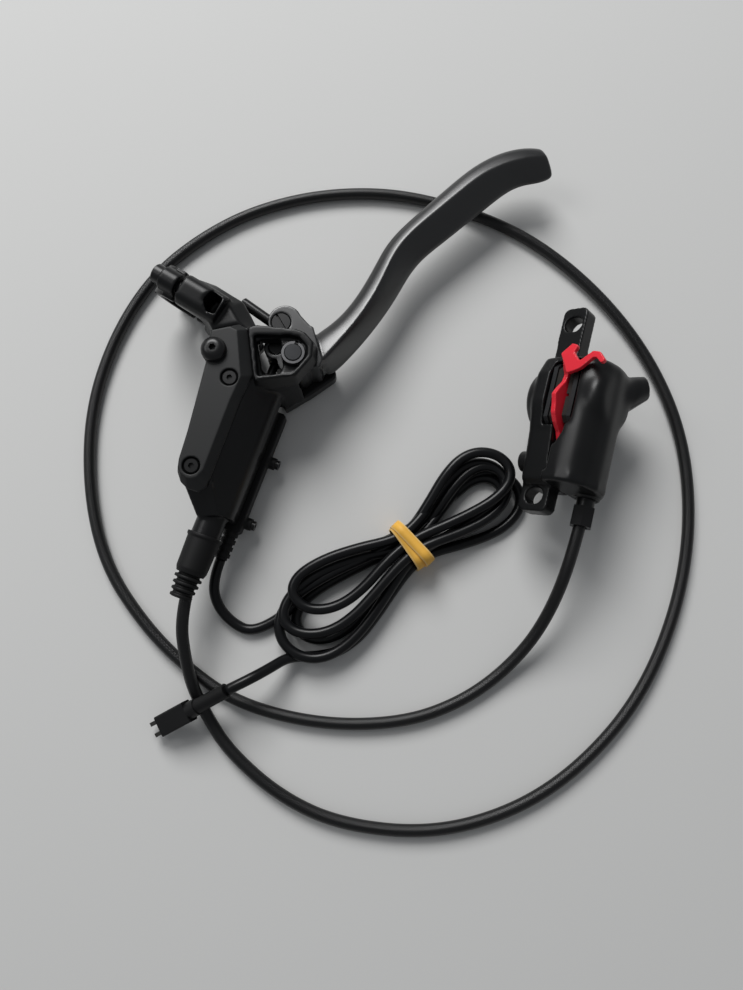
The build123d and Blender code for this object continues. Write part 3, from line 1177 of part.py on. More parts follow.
save(body_bolts.part, "body_bolts", CALIPER_PLACE)
save(pad_pin.part, "pad_pin", CALIPER_PLACE)
save(pad_clip.part, "pad_clip", CALIPER_PLACE)
save(pad_spring.part, "pad_spring", CALIPER_PLACE)

# Bleed screw of the caliper and the hose nut in its port
with BuildPart() as caliper_bleed_screw:
    with BuildSketch(bleed_axis.offset(BLEED_BOSS_LEN - 1.6)):
        Circle(3.2)
    extrude(amount=2.2)
    fillet(caliper_bleed_screw.edges().group_by(SortBy.LENGTH)[-1].sort_by(lambda edge: edge.center().X)[-1], 0.5)
    with BuildSketch(bleed_axis.offset(BLEED_BOSS_LEN + 0.6)):
        RegularPolygon(1.5, 6)
    extrude(amount=-1.5, mode=Mode.SUBTRACT)
    with BuildSketch(bleed_axis.offset(BLEED_BOSS_LEN - 1.6)):
        Circle(2.4 - THREAD_CLEAR)
    extrude(amount=-7.0)

COLLAR_LEN = 3.0
NUT_END_T = PORT_END_T - COLLAR_LEN - 8.0
with BuildPart() as caliper_hose_nut:
    with BuildSketch(Plane.XZ.offset(-PORT_END_T)):
        with Locations(PORT_AT):
            Circle(NUT_SHANK_R)
    extrude(amount=-4.3)
    with BuildSketch(Plane.XZ.offset(-PORT_END_T)):
        with Locations(PORT_AT):
            Circle(3.6)
    extrude(amount=COLLAR_LEN)
    with BuildSketch(Plane.XZ.offset(-PORT_END_T + COLLAR_LEN)):
        with Locations(PORT_AT):
            RegularPolygon(NUT_FLATS / 2, 6, major_radius=False)
    extrude(amount=8.0)
    with BuildSketch(Plane.XZ.offset(-PORT_END_T - 8)):
        with Locations(PORT_AT):
            Circle(HOSE_R + PIN_CLEAR)
    extrude(amount=24, mode=Mode.SUBTRACT)

save(caliper_bleed_screw.part, "caliper_bleed_screw", CALIPER_PLACE)
save(caliper_hose_nut.part, "caliper_hose_nut", CALIPER_PLACE)

# Transport spacer between the pads: a flat tongue, a cross plate and a finger tab at the side
SPACER_OUTLINE = (
    (-15.0, -2.0), (-15.0, 2.0), (-12.0, 3.9), (-9.0, 7.6), (-6.0, 10.0), (-2.5, 10.8), (0.9, 12.2), (4.0, 10.4),
    (8.0, 7.4), (11.0, 6.8), (12.5, 8.0), (16.0, 10.0), (20.0, 10.4), (20.0, 3.0), (15.5, 0.0), (13.0, -9.0),
    (-8.0, -9.0),
)
TAB_OUTLINE = (
    (7.2, 13.0), (4.2, 18.4), (8.5, 22.4), (11.5, 21.4), (10.1, 18.5), (13.3, 14.6), (18.4, 18.4), (21.4, 17.8),
    (24.4, 14.2), (22.8, 12.9), (20.4, 15.4), (18.9, 15.6), (14.4, 11.6), (11.9, 10.6), (8.7, 9.8),
)
with BuildPart() as pad_spacer:
    with BuildSketch(Plane.YZ.offset(DISC_X - SPACER_T / 2)) as tongue_shape:
        with BuildLine():
            Polyline(*SPACER_OUTLINE, close=True)
        make_face()
        fillet(tongue_shape.vertices(), 0.8)
    extrude(amount=SPACER_T)
    with BuildSketch(Plane.XY.offset(TAB_R)) as tab_shape:
        with BuildLine():
            Polyline(*TAB_OUTLINE, close=True)
        make_face()
        fillet(tab_shape.vertices(), 0.9)
    extrude(amount=SPACER_T)
save(pad_spacer.part, "pad_spacer", CALIPER_PLACE)

# Routes of the hose and of the sensor lead over the surface
HOSE_ROUTE = (
    (-85.9, -99.0, 19.0), (-83.3, -127.4, 9.2), (-76.8, -142.9, 2.7), (-66.8, -157.4, 2.7),
    (-46.3, -174.4, 2.7), (-22.3, -184.9, 2.7), (13.2, -188.4, 2.7), (45.7, -180.4, 2.7),
    (73.2, -163.9, 2.7), (98.7, -137.4, 2.7), (116.2, -102.9, 2.7), (125.2, -65.9, 2.7),
    (124.7, -28.4, 2.7), (114.2, 4.6, 2.7), (95.2, 34.6, 2.7), (69.2, 60.1, 2.7), (42.2, 75.6, 2.7),
    (5.7, 87.1, 2.7), (-29.3, 87.6, 2.7), (-61.8, 79.6, 2.7), (-86.8, 65.6, 2.7), (-107.8, 46.6, 2.7),
    (-123.3, 18.6, 2.7), (-131.8, -14.9, 2.7), (-130.3, -50.9, 2.7), (-121.3, -82.4, 2.7),
    (-104.3, -106.4, 2.7), (-86.3, -123.9, 2.7), (-63.8, -138.9, 2.7), (-30.8, -146.9, 2.7),
    (2.2, -146.4, 2.7), (26.2, -138.4, 2.7), (45.7, -124.9, 3.4), (60.2, -106.4, 11.0), (69.5, -79.2, 24.8),
)
LEAD_ROUTE = (
    (-75.3, -89.4, 6.3), (-73.9, -98.7, 4.2), (-67.9, -106.1, 2.4), (-59.1, -110.5, 2.4),
    (-49.2, -112.6, 3.2),
)
TAIL_ROUTE = ((-43.5, -120.0, 10.2), (-50.8, -124.6, 14.3), (-59.0, -129.0, 16.6))


def bend_radii(points, name):
    """The largest radius that each corner of a route has room for, which is also printed."""
    radii = []
    for before, corner, after in zip(points, points[1:], points[2:]):
        back = Vector(*before) - Vector(*corner)
        ahead = Vector(*after) - Vector(*corner)
        turn = 180 - back.get_angle(ahead)
        radii.append(0.45 * min(back.length, ahead.length) / tan(radians(turn / 2)))
    print(name, "radii:", [round(radius, 1) for radius in radii])
    return radii


def spot(place, x, y, z):
    """A point of one assembly, in the frame of the whole set."""
    moved = (place * Location((x, y, z))).position
    return (moved.X, moved.Y, moved.Z)


hose_points = [
    spot(LEVER_PLACE, HOSE_START_X, PISTON_Y, CYL_Z), *HOSE_ROUTE,
    spot(CALIPER_PLACE, PORT_AT[0], HOSE_END_T, PORT_AT[1]),
]
lead_points = [spot(LEVER_PLACE, SENSOR_X[0] - RELIEF_LEN, SENSOR_LEAD_Y, SENSOR_LEAD_Z), *LEAD_ROUTE]
tail_points = [*TAIL_ROUTE, PLUG_FROM]


def tube(points, radius, name):
    """A round tube along a route, checked against its section times its length."""
    with BuildPart() as piece:
        with BuildLine() as path:
            FilletPolyline(*points, radius=bend_radii(points, name))
        start = Plane(origin=points[0], z_dir=Vector(*points[1]) - Vector(*points[0]))
        with BuildSketch(start):
            Circle(radius)
        sweep(path=path.wires()[0])
    length = path.wires()[0].length
    print(name, "length", round(length), "volume ratio", round(piece.part.volume / (pi * radius**2 * length), 4))
    return piece.part


hose_solid = tube(hose_points, HOSE_R, "hose")
bore_start = Plane(origin=hose_points[0], z_dir=Vector(*hose_points[1]) - Vector(*hose_points[0]))
bore_end = Plane(origin=hose_points[-1], z_dir=Vector(*hose_points[-2]) - Vector(*hose_points[-1]))
with BuildPart() as brake_hose:
    add(hose_solid)
    for end in (bore_start, bore_end):
        with BuildSketch(end):
            Circle(INSERT_R)
        extrude(amount=INSERT_LEN + 0.2, mode=Mode.SUBTRACT)
save(brake_hose.part, "brake_hose")
save(tube(lead_points, CABLE_R, "lead"), "sensor_lead")
save(tube(tail_points, CABLE_R, "tail"), "plug_lead")

# Coiled part of the lead, as one solid of its outer shape, in the waist of which the band lies
HANK_OUTLINE = (
    (-46.3, -92.9), (-39.8, -81.9), (-22.8, -77.4), (-7.3, -73.9), (5.7, -65.9), (13.7, -54.9),
    (24.7, -38.9), (36.7, -33.9), (46.7, -36.4), (53.2, -49.4), (52.7, -63.4), (42.7, -71.9), (24.2, -77.4),
    (10.7, -81.9), (1.7, -91.9), (-11.3, -111.4), (-22.3, -119.9), (-35.3, -122.9), (-46.3, -115.9),
    (-49.3, -105.4),
)
band_plane = Plane(
    origin=(*HANK_AT, HANK_H / 2), x_dir=(*polar(1, HANK_TURN + 90), 0), z_dir=(*polar(1, HANK_TURN), 0)
)
WAIST_W = 21.0
with BuildPart() as lead_hank:
    with BuildSketch():
        with BuildLine():
            Spline(*HANK_OUTLINE, periodic=True)
        make_face()
    extrude(amount=HANK_H)
    chamfer(lead_hank.edges().group_by(Axis.Z)[0] + lead_hank.edges().group_by(Axis.Z)[-1], 3.0)
    with BuildSketch(band_plane.offset(-BAND_W / 2)):
        Rectangle(3 * WAIST_W, 3 * HANK_H)
        RectangleRounded(WAIST_W - 2 * BAND_T, HANK_H - 2 * BAND_T, 4.5, mode=Mode.SUBTRACT)
    extrude(amount=BAND_W, mode=Mode.SUBTRACT)

with BuildPart() as rubber_band:
    with BuildSketch(band_plane.offset(-BAND_W / 2 + 0.05)):
        RectangleRounded(WAIST_W, HANK_H, 5.6)
        RectangleRounded(WAIST_W - 2 * BAND_T, HANK_H - 2 * BAND_T, 4.5, mode=Mode.SUBTRACT)
    extrude(amount=BAND_W - 0.1)
save(lead_hank.part, "lead_hank")
save(rubber_band.part, "rubber_band")

# Plug at the end of the lead: strain relief, round barrel, flat block and two contacts
plug_axis = Plane(
    origin=PLUG_FROM, x_dir=(PLUG_TO[1] - PLUG_FROM[1], PLUG_FROM[0] - PLUG_TO[0], 0),
    z_dir=Vector(*PLUG_TO) - Vector(*PLUG_FROM),
)
PLUG_BARREL_LEN = 4.0
PLUG_BLOCK_LEN = 14.0
with BuildPart() as plug_sleeve:
    with BuildSketch(plug_axis):
        Circle(SLEEVE_R)
    extrude(amount=SLEEVE_LEN)

with BuildPart() as plug_body:
    with BuildSketch(plug_axis.offset(SLEEVE_LEN)):
        Circle(3.4)
    extrude(amount=PLUG_BARREL_LEN)
    with BuildSketch(plug_axis.offset(SLEEVE_LEN + PLUG_BARREL_LEN)):
        RectangleRounded(8.5, 6.0, 0.8)
    extrude(amount=PLUG_BLOCK_LEN)

with BuildPart() as plug_contacts:
    with BuildSketch(plug_axis.offset(SLEEVE_LEN + PLUG_BARREL_LEN + PLUG_BLOCK_LEN)):
        with Locations((2.3, 0), (-2.3, 0)):
            Rectangle(1.6, 2.4)
    extrude(amount=4.0)
save(plug_sleeve.part, "plug_sleeve")
save(plug_body.part, "plug_body")
save(plug_contacts.part, "plug_contacts")
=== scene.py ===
"""Dresses the hydraulic brake set: its finishes, soft cast edges, hose, coiled lead and rubber band."""
import logging
import math
from dataclasses import dataclass, field
from enum import Enum
from typing import Sequence

import bmesh
import bpy
from mathutils import Matrix, Vector


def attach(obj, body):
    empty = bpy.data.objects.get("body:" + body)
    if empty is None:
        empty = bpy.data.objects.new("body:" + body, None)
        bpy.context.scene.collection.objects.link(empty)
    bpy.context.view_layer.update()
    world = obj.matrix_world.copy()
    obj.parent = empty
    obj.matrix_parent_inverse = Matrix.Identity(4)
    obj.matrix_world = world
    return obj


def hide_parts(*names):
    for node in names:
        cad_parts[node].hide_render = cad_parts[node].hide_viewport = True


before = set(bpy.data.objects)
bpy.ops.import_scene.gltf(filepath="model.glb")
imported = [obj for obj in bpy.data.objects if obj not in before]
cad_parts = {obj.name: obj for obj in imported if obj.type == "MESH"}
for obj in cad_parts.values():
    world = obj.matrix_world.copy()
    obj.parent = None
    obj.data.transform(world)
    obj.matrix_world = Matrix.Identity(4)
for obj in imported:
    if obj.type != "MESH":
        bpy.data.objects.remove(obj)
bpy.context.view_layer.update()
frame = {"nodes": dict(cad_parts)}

MM = 0.001
Colour = tuple[float, float, float]
Point = tuple[float, float, float]
log = logging.getLogger("brake_set")

# how a finish varies over a surface
COAT_ROUGHNESS = 0.12
CLOUD_MM = 14
CLOUD_DETAIL = 6.0
ROUGHNESS_SPREAD = 0.06
LEAST_ROUGHNESS = 0.05
GRAIN_ROUGHNESS = 0.6
CAST_DETAIL = 4.0
FINE_DETAIL = 2.0
BRUSHED_STRETCH = 0.12
FIBRE_STRETCH = 0.4
STRAND_TURN = math.radians(36)
STRAND_GRAINS = 3.2

# the painted light on the rubber band's thin edges, standing in for light that shines through them: its colour, and
# the shares of its width where it starts and ends
EDGE_LIGHT_TAN: Colour = (0.84, 0.55, 0.2)
EDGE_LIGHT_FROM = 0.06
EDGE_LIGHT_TO = 0.16

# how near two points count as one, and how far each smoothing pass moves a point
MERGE_MM = 0.001
TRACK_STEP_MM = 0.05
SMOOTHING = 0.5


class Grain(Enum):
    """The kinds of fine surface that the finishes have."""

    CAST = "cast"
    MOULDED = "moulded"
    BRUSHED = "brushed"
    WOVEN = "woven"
    FIBROUS = "fibrous"
    # the rubber band's grain, whose colour also gets painted light on its thin edges
    BANDED = "banded"


@dataclass(frozen=True)
class Finish:
    """One finish: its colour, how it shines and the fine structure of its surface."""

    name: str
    colour: Colour
    roughness: float
    grain: Grain = Grain.MOULDED
    metallic: float = 0.0
    grain_mm: float = 0.6
    relief_mm: float = 0.02
    mottle: float = 0.25
    specular: float = 0.3
    coat: float = 0.0
    sheen: float = 0.0

    def material(self) -> bpy.types.Material:
        """Builds the finish's material once and finds it again after that.

        Returns:
            The material.
        """
        found = bpy.data.materials.get(self.name)
        if found is not None:
            return found
        made = bpy.data.materials.new(self.name)
        made.use_nodes = True
        made.diffuse_color = (*self.colour, 1.0)
        tree = made.node_tree
        shader = tree.nodes["Principled BSDF"]
        shader.inputs["Metallic"].default_value = self.metallic
        shader.inputs["Specular IOR Level"].default_value = self.specular
        shader.inputs["Coat Weight"].default_value = self.coat
        shader.inputs["Coat Roughness"].default_value = COAT_ROUGHNESS
        shader.inputs["Sheen Weight"].default_value = self.sheen
        self._colour(tree, shader)
        self._relief(tree, shader)
        return made

    def _coordinates(self, tree: bpy.types.NodeTree) -> bpy.types.NodeSocket:
        """Gives the coordinates that the grain follows.

        Args:
            tree: the material's node tree.

        Returns:
            The socket with the piece's own UV map for a woven cover, and object coordinates otherwise.
        """
        source = tree.nodes.new("ShaderNodeTexCoord")
        return source.outputs["UV" if self.grain is Grain.WOVEN else "Object"]

    def _colour(self, tree: bpy.types.NodeTree, shader: bpy.types.Node) -> None:
        """Varies the colour and the roughness a little over the surface.

        Args:
            tree: the material's node tree.
            shader: its Principled shader.
        """
        cloud = tree.nodes.new("ShaderNodeTexNoise")
        cloud.inputs["Scale"].default_value = 1 / (CLOUD_MM * MM)
        cloud.inputs["Detail"].default_value = CLOUD_DETAIL
        tree.links.new(tree.nodes.new("ShaderNodeTexCoord").outputs["Object"], cloud.inputs["Vector"])
        tint = tree.nodes.new("ShaderNodeMix")
        tint.data_type = "RGBA"
        tint.inputs["A"].default_value = (*(value * (1 - self.mottle) for value in self.colour), 1.0)
        tint.inputs["B"].default_value = (*(value * (1 + self.mottle) for value in self.colour), 1.0)
        tree.links.new(cloud.outputs["Fac"], tint.inputs["Factor"])
        colour = tint.outputs["Result"]
        # the band's colour gets painted light towards its thin edges
        if self.grain is Grain.BANDED:
            colour = self._painted_edge_light(tree, colour)
        tree.links.new(colour, shader.inputs["Base Color"])
        span = tree.nodes.new("ShaderNodeMapRange")
        span.inputs["To Min"].default_value = max(LEAST_ROUGHNESS, self.roughness - ROUGHNESS_SPREAD)
        span.inputs["To Max"].default_value = min(1.0, self.roughness + ROUGHNESS_SPREAD)
        tree.links.new(cloud.outputs["Fac"], span.inputs["Value"])
        tree.links.new(span.outputs["Result"], shader.inputs["Roughness"])

    def _painted_edge_light(self, tree: bpy.types.NodeTree, colour: bpy.types.NodeSocket) -> bpy.types.NodeSocket:
        """Paints light into a strip's colour towards its two edges, for the light that shines through it where it is
        thin.

        Args:
            tree: the material's node tree.
            colour: the socket with the strip's colour.

        Returns:
            The socket with the painted edge light mixed in.
        """
        place = tree.nodes.new("ShaderNodeSeparateXYZ")
        tree.links.new(tree.nodes.new("ShaderNodeTexCoord").outputs["UV"], place.inputs["Vector"])
        ramp = tree.nodes.new("ShaderNodeValToRGB")
        ramp.color_ramp.elements[0].position = EDGE_LIGHT_FROM
        ramp.color_ramp.elements[0].color = (1.0, 1.0, 1.0, 1.0)
        ramp.color_ramp.elements[1].position = 1 - EDGE_LIGHT_FROM
        ramp.color_ramp.elements[1].color = (1.0, 1.0, 1.0, 1.0)
        for position in (EDGE_LIGHT_TO, 1 - EDGE_LIGHT_TO):
            ramp.color_ramp.elements.new(position).color = (0.0, 0.0, 0.0, 1.0)
        tree.links.new(place.outputs["Y"], ramp.inputs["Fac"])
        # mixes the painted edge light into the colour
        edge_light = tree.nodes.new("ShaderNodeMix")
        edge_light.data_type = "RGBA"
        edge_light.inputs["B"].default_value = (*EDGE_LIGHT_TAN, 1.0)
        tree.links.new(ramp.outputs["Color"], edge_light.inputs["Factor"])
        tree.links.new(colour, edge_light.inputs["A"])
        return edge_light.outputs["Result"]

    def _relief(self, tree: bpy.types.NodeTree, shader: bpy.types.Node) -> None:
        """Raises the fine grain with a bump.

        Args:
            tree: the material's node tree.
            shader: its Principled shader.
        """
        bump = tree.nodes.new("ShaderNodeBump")
        bump.inputs["Strength"].default_value = 1.0
        bump.inputs["Distance"].default_value = self.relief_mm * MM
        tree.links.new(self._height(tree), bump.inputs["Height"])
        tree.links.new(bump.outputs["Normal"], shader.inputs["Normal"])

    def _height(self, tree: bpy.types.NodeTree) -> bpy.types.NodeSocket:
        """Builds the height pattern of the grain.

        Args:
            tree: the material's node tree.

        Returns:
            The socket with the height, from 0 to 1.
        """
        where = self._coordinates(tree)
        if self.grain is Grain.WOVEN:
            return self._weave(tree, where)
        noise = tree.nodes.new("ShaderNodeTexNoise")
        noise.inputs["Scale"].default_value = 1 / (self.grain_mm * MM)
        noise.inputs["Detail"].default_value = CAST_DETAIL if self.grain is Grain.CAST else FINE_DETAIL
        noise.inputs["Roughness"].default_value = GRAIN_ROUGHNESS
        if self.grain in (Grain.BRUSHED, Grain.FIBROUS, Grain.BANDED):
            stretch = tree.nodes.new("ShaderNodeMapping")
            along = BRUSHED_STRETCH if self.grain is Grain.BRUSHED else FIBRE_STRETCH
            stretch.inputs["Scale"].default_value = (1.0, 1.0, along)
            tree.links.new(where, stretch.inputs["Vector"])
            where = stretch.outputs["Vector"]
        tree.links.new(where, noise.inputs["Vector"])
        return noise.outputs["Fac"]

    def _weave(self, tree: bpy.types.NodeTree, where: bpy.types.NodeSocket) -> bpy.types.NodeSocket:
        """Builds two crossing sets of strands, one each way round the tube.

        Args:
            tree: the material's node tree.
            where: the tube's UV map, in metres round and along it.

        Returns:
            The socket with the height.
        """
        strands = []
        for turn in (STRAND_TURN, -STRAND_TURN):
            slope = tree.nodes.new("ShaderNodeMapping")
            slope.inputs["Rotation"].default_value = (0.0, 0.0, turn)
            tree.links.new(where, slope.inputs["Vector"])
            wave = tree.nodes.new("ShaderNodeTexWave")
            wave.inputs["Scale"].default_value = 1 / (self.grain_mm * MM * STRAND_GRAINS)
            tree.links.new(slope.outputs["Vector"], wave.inputs["Vector"])
            strands.append(wave.outputs["Fac"])
        crossing = tree.nodes.new("ShaderNodeMath")
        crossing.operation = "MAXIMUM"
        tree.links.new(strands[0], crossing.inputs[0])
        tree.links.new(strands[1], crossing.inputs[1])
        return crossing.outputs[0]


@dataclass(frozen=True)
class Palette:
    """The finishes of the whole set."""

    cast_black: Finish = Finish(
        "satin_cast_black_finish", (0.004, 0.0042, 0.0045), 0.34, Grain.CAST,
        grain_mm=0.5, relief_mm=0.012,
    )
    lever_black: Finish = Finish(
        "satin_lever_black_finish", (0.0042, 0.0044, 0.0047), 0.33, Grain.CAST,
        grain_mm=0.4, relief_mm=0.004, specular=0.85,
    )
    cover_black: Finish = Finish(
        "cover_black_finish", (0.0078, 0.0083, 0.0086), 0.5, Grain.MOULDED,
        grain_mm=0.35, specular=0.34,
    )
    sensor_black: Finish = Finish("sensor_black_finish", (0.0042, 0.0042, 0.0044), 0.5, Grain.MOULDED, grain_mm=0.4)
    plug_black: Finish = Finish("plug_black_finish", (0.0055, 0.0055, 0.0058), 0.5, Grain.MOULDED, grain_mm=0.4)
    rubber: Finish = Finish(
        "soft_rubber_finish", (0.0052, 0.0052, 0.0055), 0.55, Grain.MOULDED,
        grain_mm=0.5, specular=0.25,
    )
    hose: Finish = Finish(
        "woven_hose_cover_finish", (0.005, 0.005, 0.0053), 0.3, Grain.WOVEN,
        grain_mm=0.55, relief_mm=0.05, specular=0.4,
    )
    cable: Finish = Finish(
        "cable_jacket_finish", (0.0046, 0.0048, 0.0054), 0.3, Grain.MOULDED,
        grain_mm=1.5, relief_mm=0.008, specular=0.25,
    )
    black_steel: Finish = Finish(
        "black_steel_finish", (0.007, 0.007, 0.0074), 0.32, Grain.CAST,
        metallic=0.2, relief_mm=0.005, specular=0.45,
    )
    pin_steel: Finish = Finish(
        "pin_steel_finish", (0.035, 0.036, 0.038), 0.36, Grain.BRUSHED,
        metallic=0.8, relief_mm=0.006,
    )
    ring_steel: Finish = Finish(
        "ring_steel_finish", (0.1, 0.1, 0.103), 0.36, Grain.BRUSHED,
        metallic=1.0, relief_mm=0.006,
    )
    bright_steel: Finish = Finish(
        "bright_steel_finish", (0.42, 0.42, 0.43), 0.28, Grain.BRUSHED,
        metallic=1.0, relief_mm=0.006,
    )
    aluminium: Finish = Finish(
        "machined_aluminium_finish", (0.6, 0.6, 0.61), 0.3, Grain.BRUSHED,
        metallic=1.0, relief_mm=0.006,
    )
    brass: Finish = Finish(
        "turned_brass_finish", (0.62, 0.42, 0.16), 0.28, Grain.BRUSHED,
        metallic=1.0, relief_mm=0.005,
    )
    dull_tin: Finish = Finish(
        "dull_tin_finish", (0.09, 0.088, 0.084), 0.42, Grain.BRUSHED,
        metallic=0.9, relief_mm=0.005,
    )
    resin: Finish = Finish("piston_resin_finish", (0.02, 0.016, 0.013), 0.45, Grain.MOULDED)
    lining: Finish = Finish(
        "friction_lining_finish", (0.022, 0.02, 0.018), 0.9, Grain.FIBROUS,
        grain_mm=0.7, relief_mm=0.12, mottle=0.5,
    )
    plate: Finish = Finish(
        "pressed_plate_finish", (0.05, 0.051, 0.053), 0.42, Grain.BRUSHED,
        metallic=0.9, relief_mm=0.01,
    )
    red: Finish = Finish(
        "red_spacer_finish", (0.74, 0.022, 0.04), 0.34, Grain.MOULDED,
        grain_mm=2.0, relief_mm=0.02, mottle=0.12, coat=0.25,
    )
    # its colour gets painted light on the band's thin edges
    tan: Finish = Finish(
        "tan_rubber_band_finish", (0.8, 0.44, 0.07), 0.5, Grain.BANDED,
        grain_mm=0.9, relief_mm=0.03, mottle=0.16,
    )


PALETTE = Palette()

# the nodes that keep their own form
NODE_FINISHES: dict[str, Finish] = {
    "clamp_bolts": PALETTE.black_steel, "reservoir_diaphragm": PALETTE.rubber,
    "cover_screws": PALETTE.black_steel, "bleed_seal": PALETTE.rubber, "bleed_screw": PALETTE.black_steel,
    "pivot_pin": PALETTE.pin_steel, "pivot_ring": PALETTE.ring_steel, "reach_barrel": PALETTE.black_steel,
    "reach_screw": PALETTE.black_steel, "push_rod": PALETTE.black_steel, "master_piston": PALETTE.aluminium,
    "piston_cups": PALETTE.rubber, "return_spring": PALETTE.bright_steel,
    "cylinder_snap_ring": PALETTE.bright_steel, "lever_hose_nut": PALETTE.black_steel,
    "hose_olives": PALETTE.brass, "hose_inserts": PALETTE.brass, "sensor_screws": PALETTE.black_steel,
    "sensor_relief": PALETTE.rubber, "inner_piston": PALETTE.resin, "outer_piston": PALETTE.resin,
    "inner_seal": PALETTE.rubber, "outer_seal": PALETTE.rubber, "inner_pad_plate": PALETTE.plate,
    "outer_pad_plate": PALETTE.plate, "inner_pad_lining": PALETTE.lining, "outer_pad_lining": PALETTE.lining,
    "body_bolts": PALETTE.black_steel, "pad_pin": PALETTE.black_steel, "pad_clip": PALETTE.black_steel,
    "pad_spring": PALETTE.plate, "caliper_bleed_screw": PALETTE.black_steel,
    "caliper_hose_nut": PALETTE.black_steel, "plug_sleeve": PALETTE.rubber, "plug_body": PALETTE.plug_black,
    "plug_contacts": PALETTE.dull_tin,
}


def dress(piece: bpy.types.Object, finish: Finish) -> None:
    """Puts one finish on a whole piece.

    Args:
        piece: the piece or CAD node.
        finish: its finish.
    """
    material = finish.material()
    if not piece.material_slots:
        piece.data.materials.append(material)
    for slot in piece.material_slots:
        slot.link = "OBJECT"
        slot.material = material


def add_mesh(name: str, shape: bmesh.types.BMesh, smooth: bool = True) -> bpy.types.Object:
    """Turns a finished bmesh into a piece of the scene.

    Args:
        name: the piece's name.
        shape: the bmesh, which is freed.
        smooth: whether its faces are shaded smooth.

    Returns:
        The new object, at the origin.
    """
    mesh = bpy.data.meshes.new(name)
    shape.to_mesh(mesh)
    shape.free()
    mesh.polygons.foreach_set("use_smooth", [smooth] * len(mesh.polygons))
    piece = bpy.data.objects.new(name, mesh)
    bpy.context.scene.collection.objects.link(piece)
    return piece


def placed(origin_mm: Point, along: Point, across: Point, up: Point) -> Matrix:
    """Gives the matrix of a sub-assembly's own frame in the set's frame.

    Args:
        origin_mm: where the frame stands, in millimetres.
        along: its first direction.
        across: its second direction.
        up: its third direction.

    Returns:
        The matrix, in metres.
    """
    turn = Matrix((along, across, up)).transposed().to_4x4()
    return Matrix.Translation(Vector(origin_mm) * MM) @ turn


CALIPER_FRAME = placed(
    (64.6, -20.9, 24.8),
    (0.6830, -0.1830, 0.7071),
    (0.2588, 0.9659, 0.0),
    (-0.6830, 0.1830, 0.7071),
)
BLADE_TURN = math.radians(40)
BLADE_FRAME = placed(
    (-40.8, -1.4, 19.3),
    (math.cos(BLADE_TURN), math.sin(BLADE_TURN), 0.0),
    (-math.sin(BLADE_TURN), math.cos(BLADE_TURN), 0.0),
    (0.0, 0.0, 1.0),
)


@dataclass
class SoftZone:
    """A box of a casting's frame in which its corners are rounded further."""

    frame: Matrix
    low_mm: Point
    high_mm: Point
    passes: int
    ramp_mm: float = 3.5

    def weight(self, spot: Vector) -> float:
        """Gives how much of the rounding a point gets.

        Args:
            spot: the point in the set's frame, in metres.

        Returns:
            The share, from 0 outside the box to 1 deep inside it.
        """
        own = self.frame.inverted() @ spot / MM
        share = 1.0
        for value, low, high in zip(own, self.low_mm, self.high_mm):
            depth = min(value - low, high - value) / self.ramp_mm
            share *= min(max(depth, 0.0), 1.0)
        return share * share * (3 - 2 * share)


@dataclass
class Prism:
    """A straight-sided block that is cut out of a casting."""

    frame: Matrix
    outline_mm: tuple[tuple[float, float], ...]
    low_mm: float
    high_mm: float

    def build(self, name: str) -> bpy.types.Object:
        """Builds the block from its outline.

        Args:
            name: the block's name while the cut is made.

        Returns:
            The block.
        """
        shape = bmesh.new()
        face = shape.faces.new([shape.verts.new((x * MM, y * MM, self.low_mm * MM)) for x, y in self.outline_mm])
        grown = bmesh.ops.extrude_face_region(shape, geom=[face])["geom"]
        moved = [part for part in grown if isinstance(part, bmesh.types.BMVert)]
        bmesh.ops.translate(shape, vec=(0, 0, (self.high_mm - self.low_mm) * MM), verts=moved)
        bmesh.ops.recalc_face_normals(shape, faces=shape.faces)
        bmesh.ops.transform(shape, matrix=self.frame, verts=shape.verts)
        return add_mesh(name, shape, smooth=False)


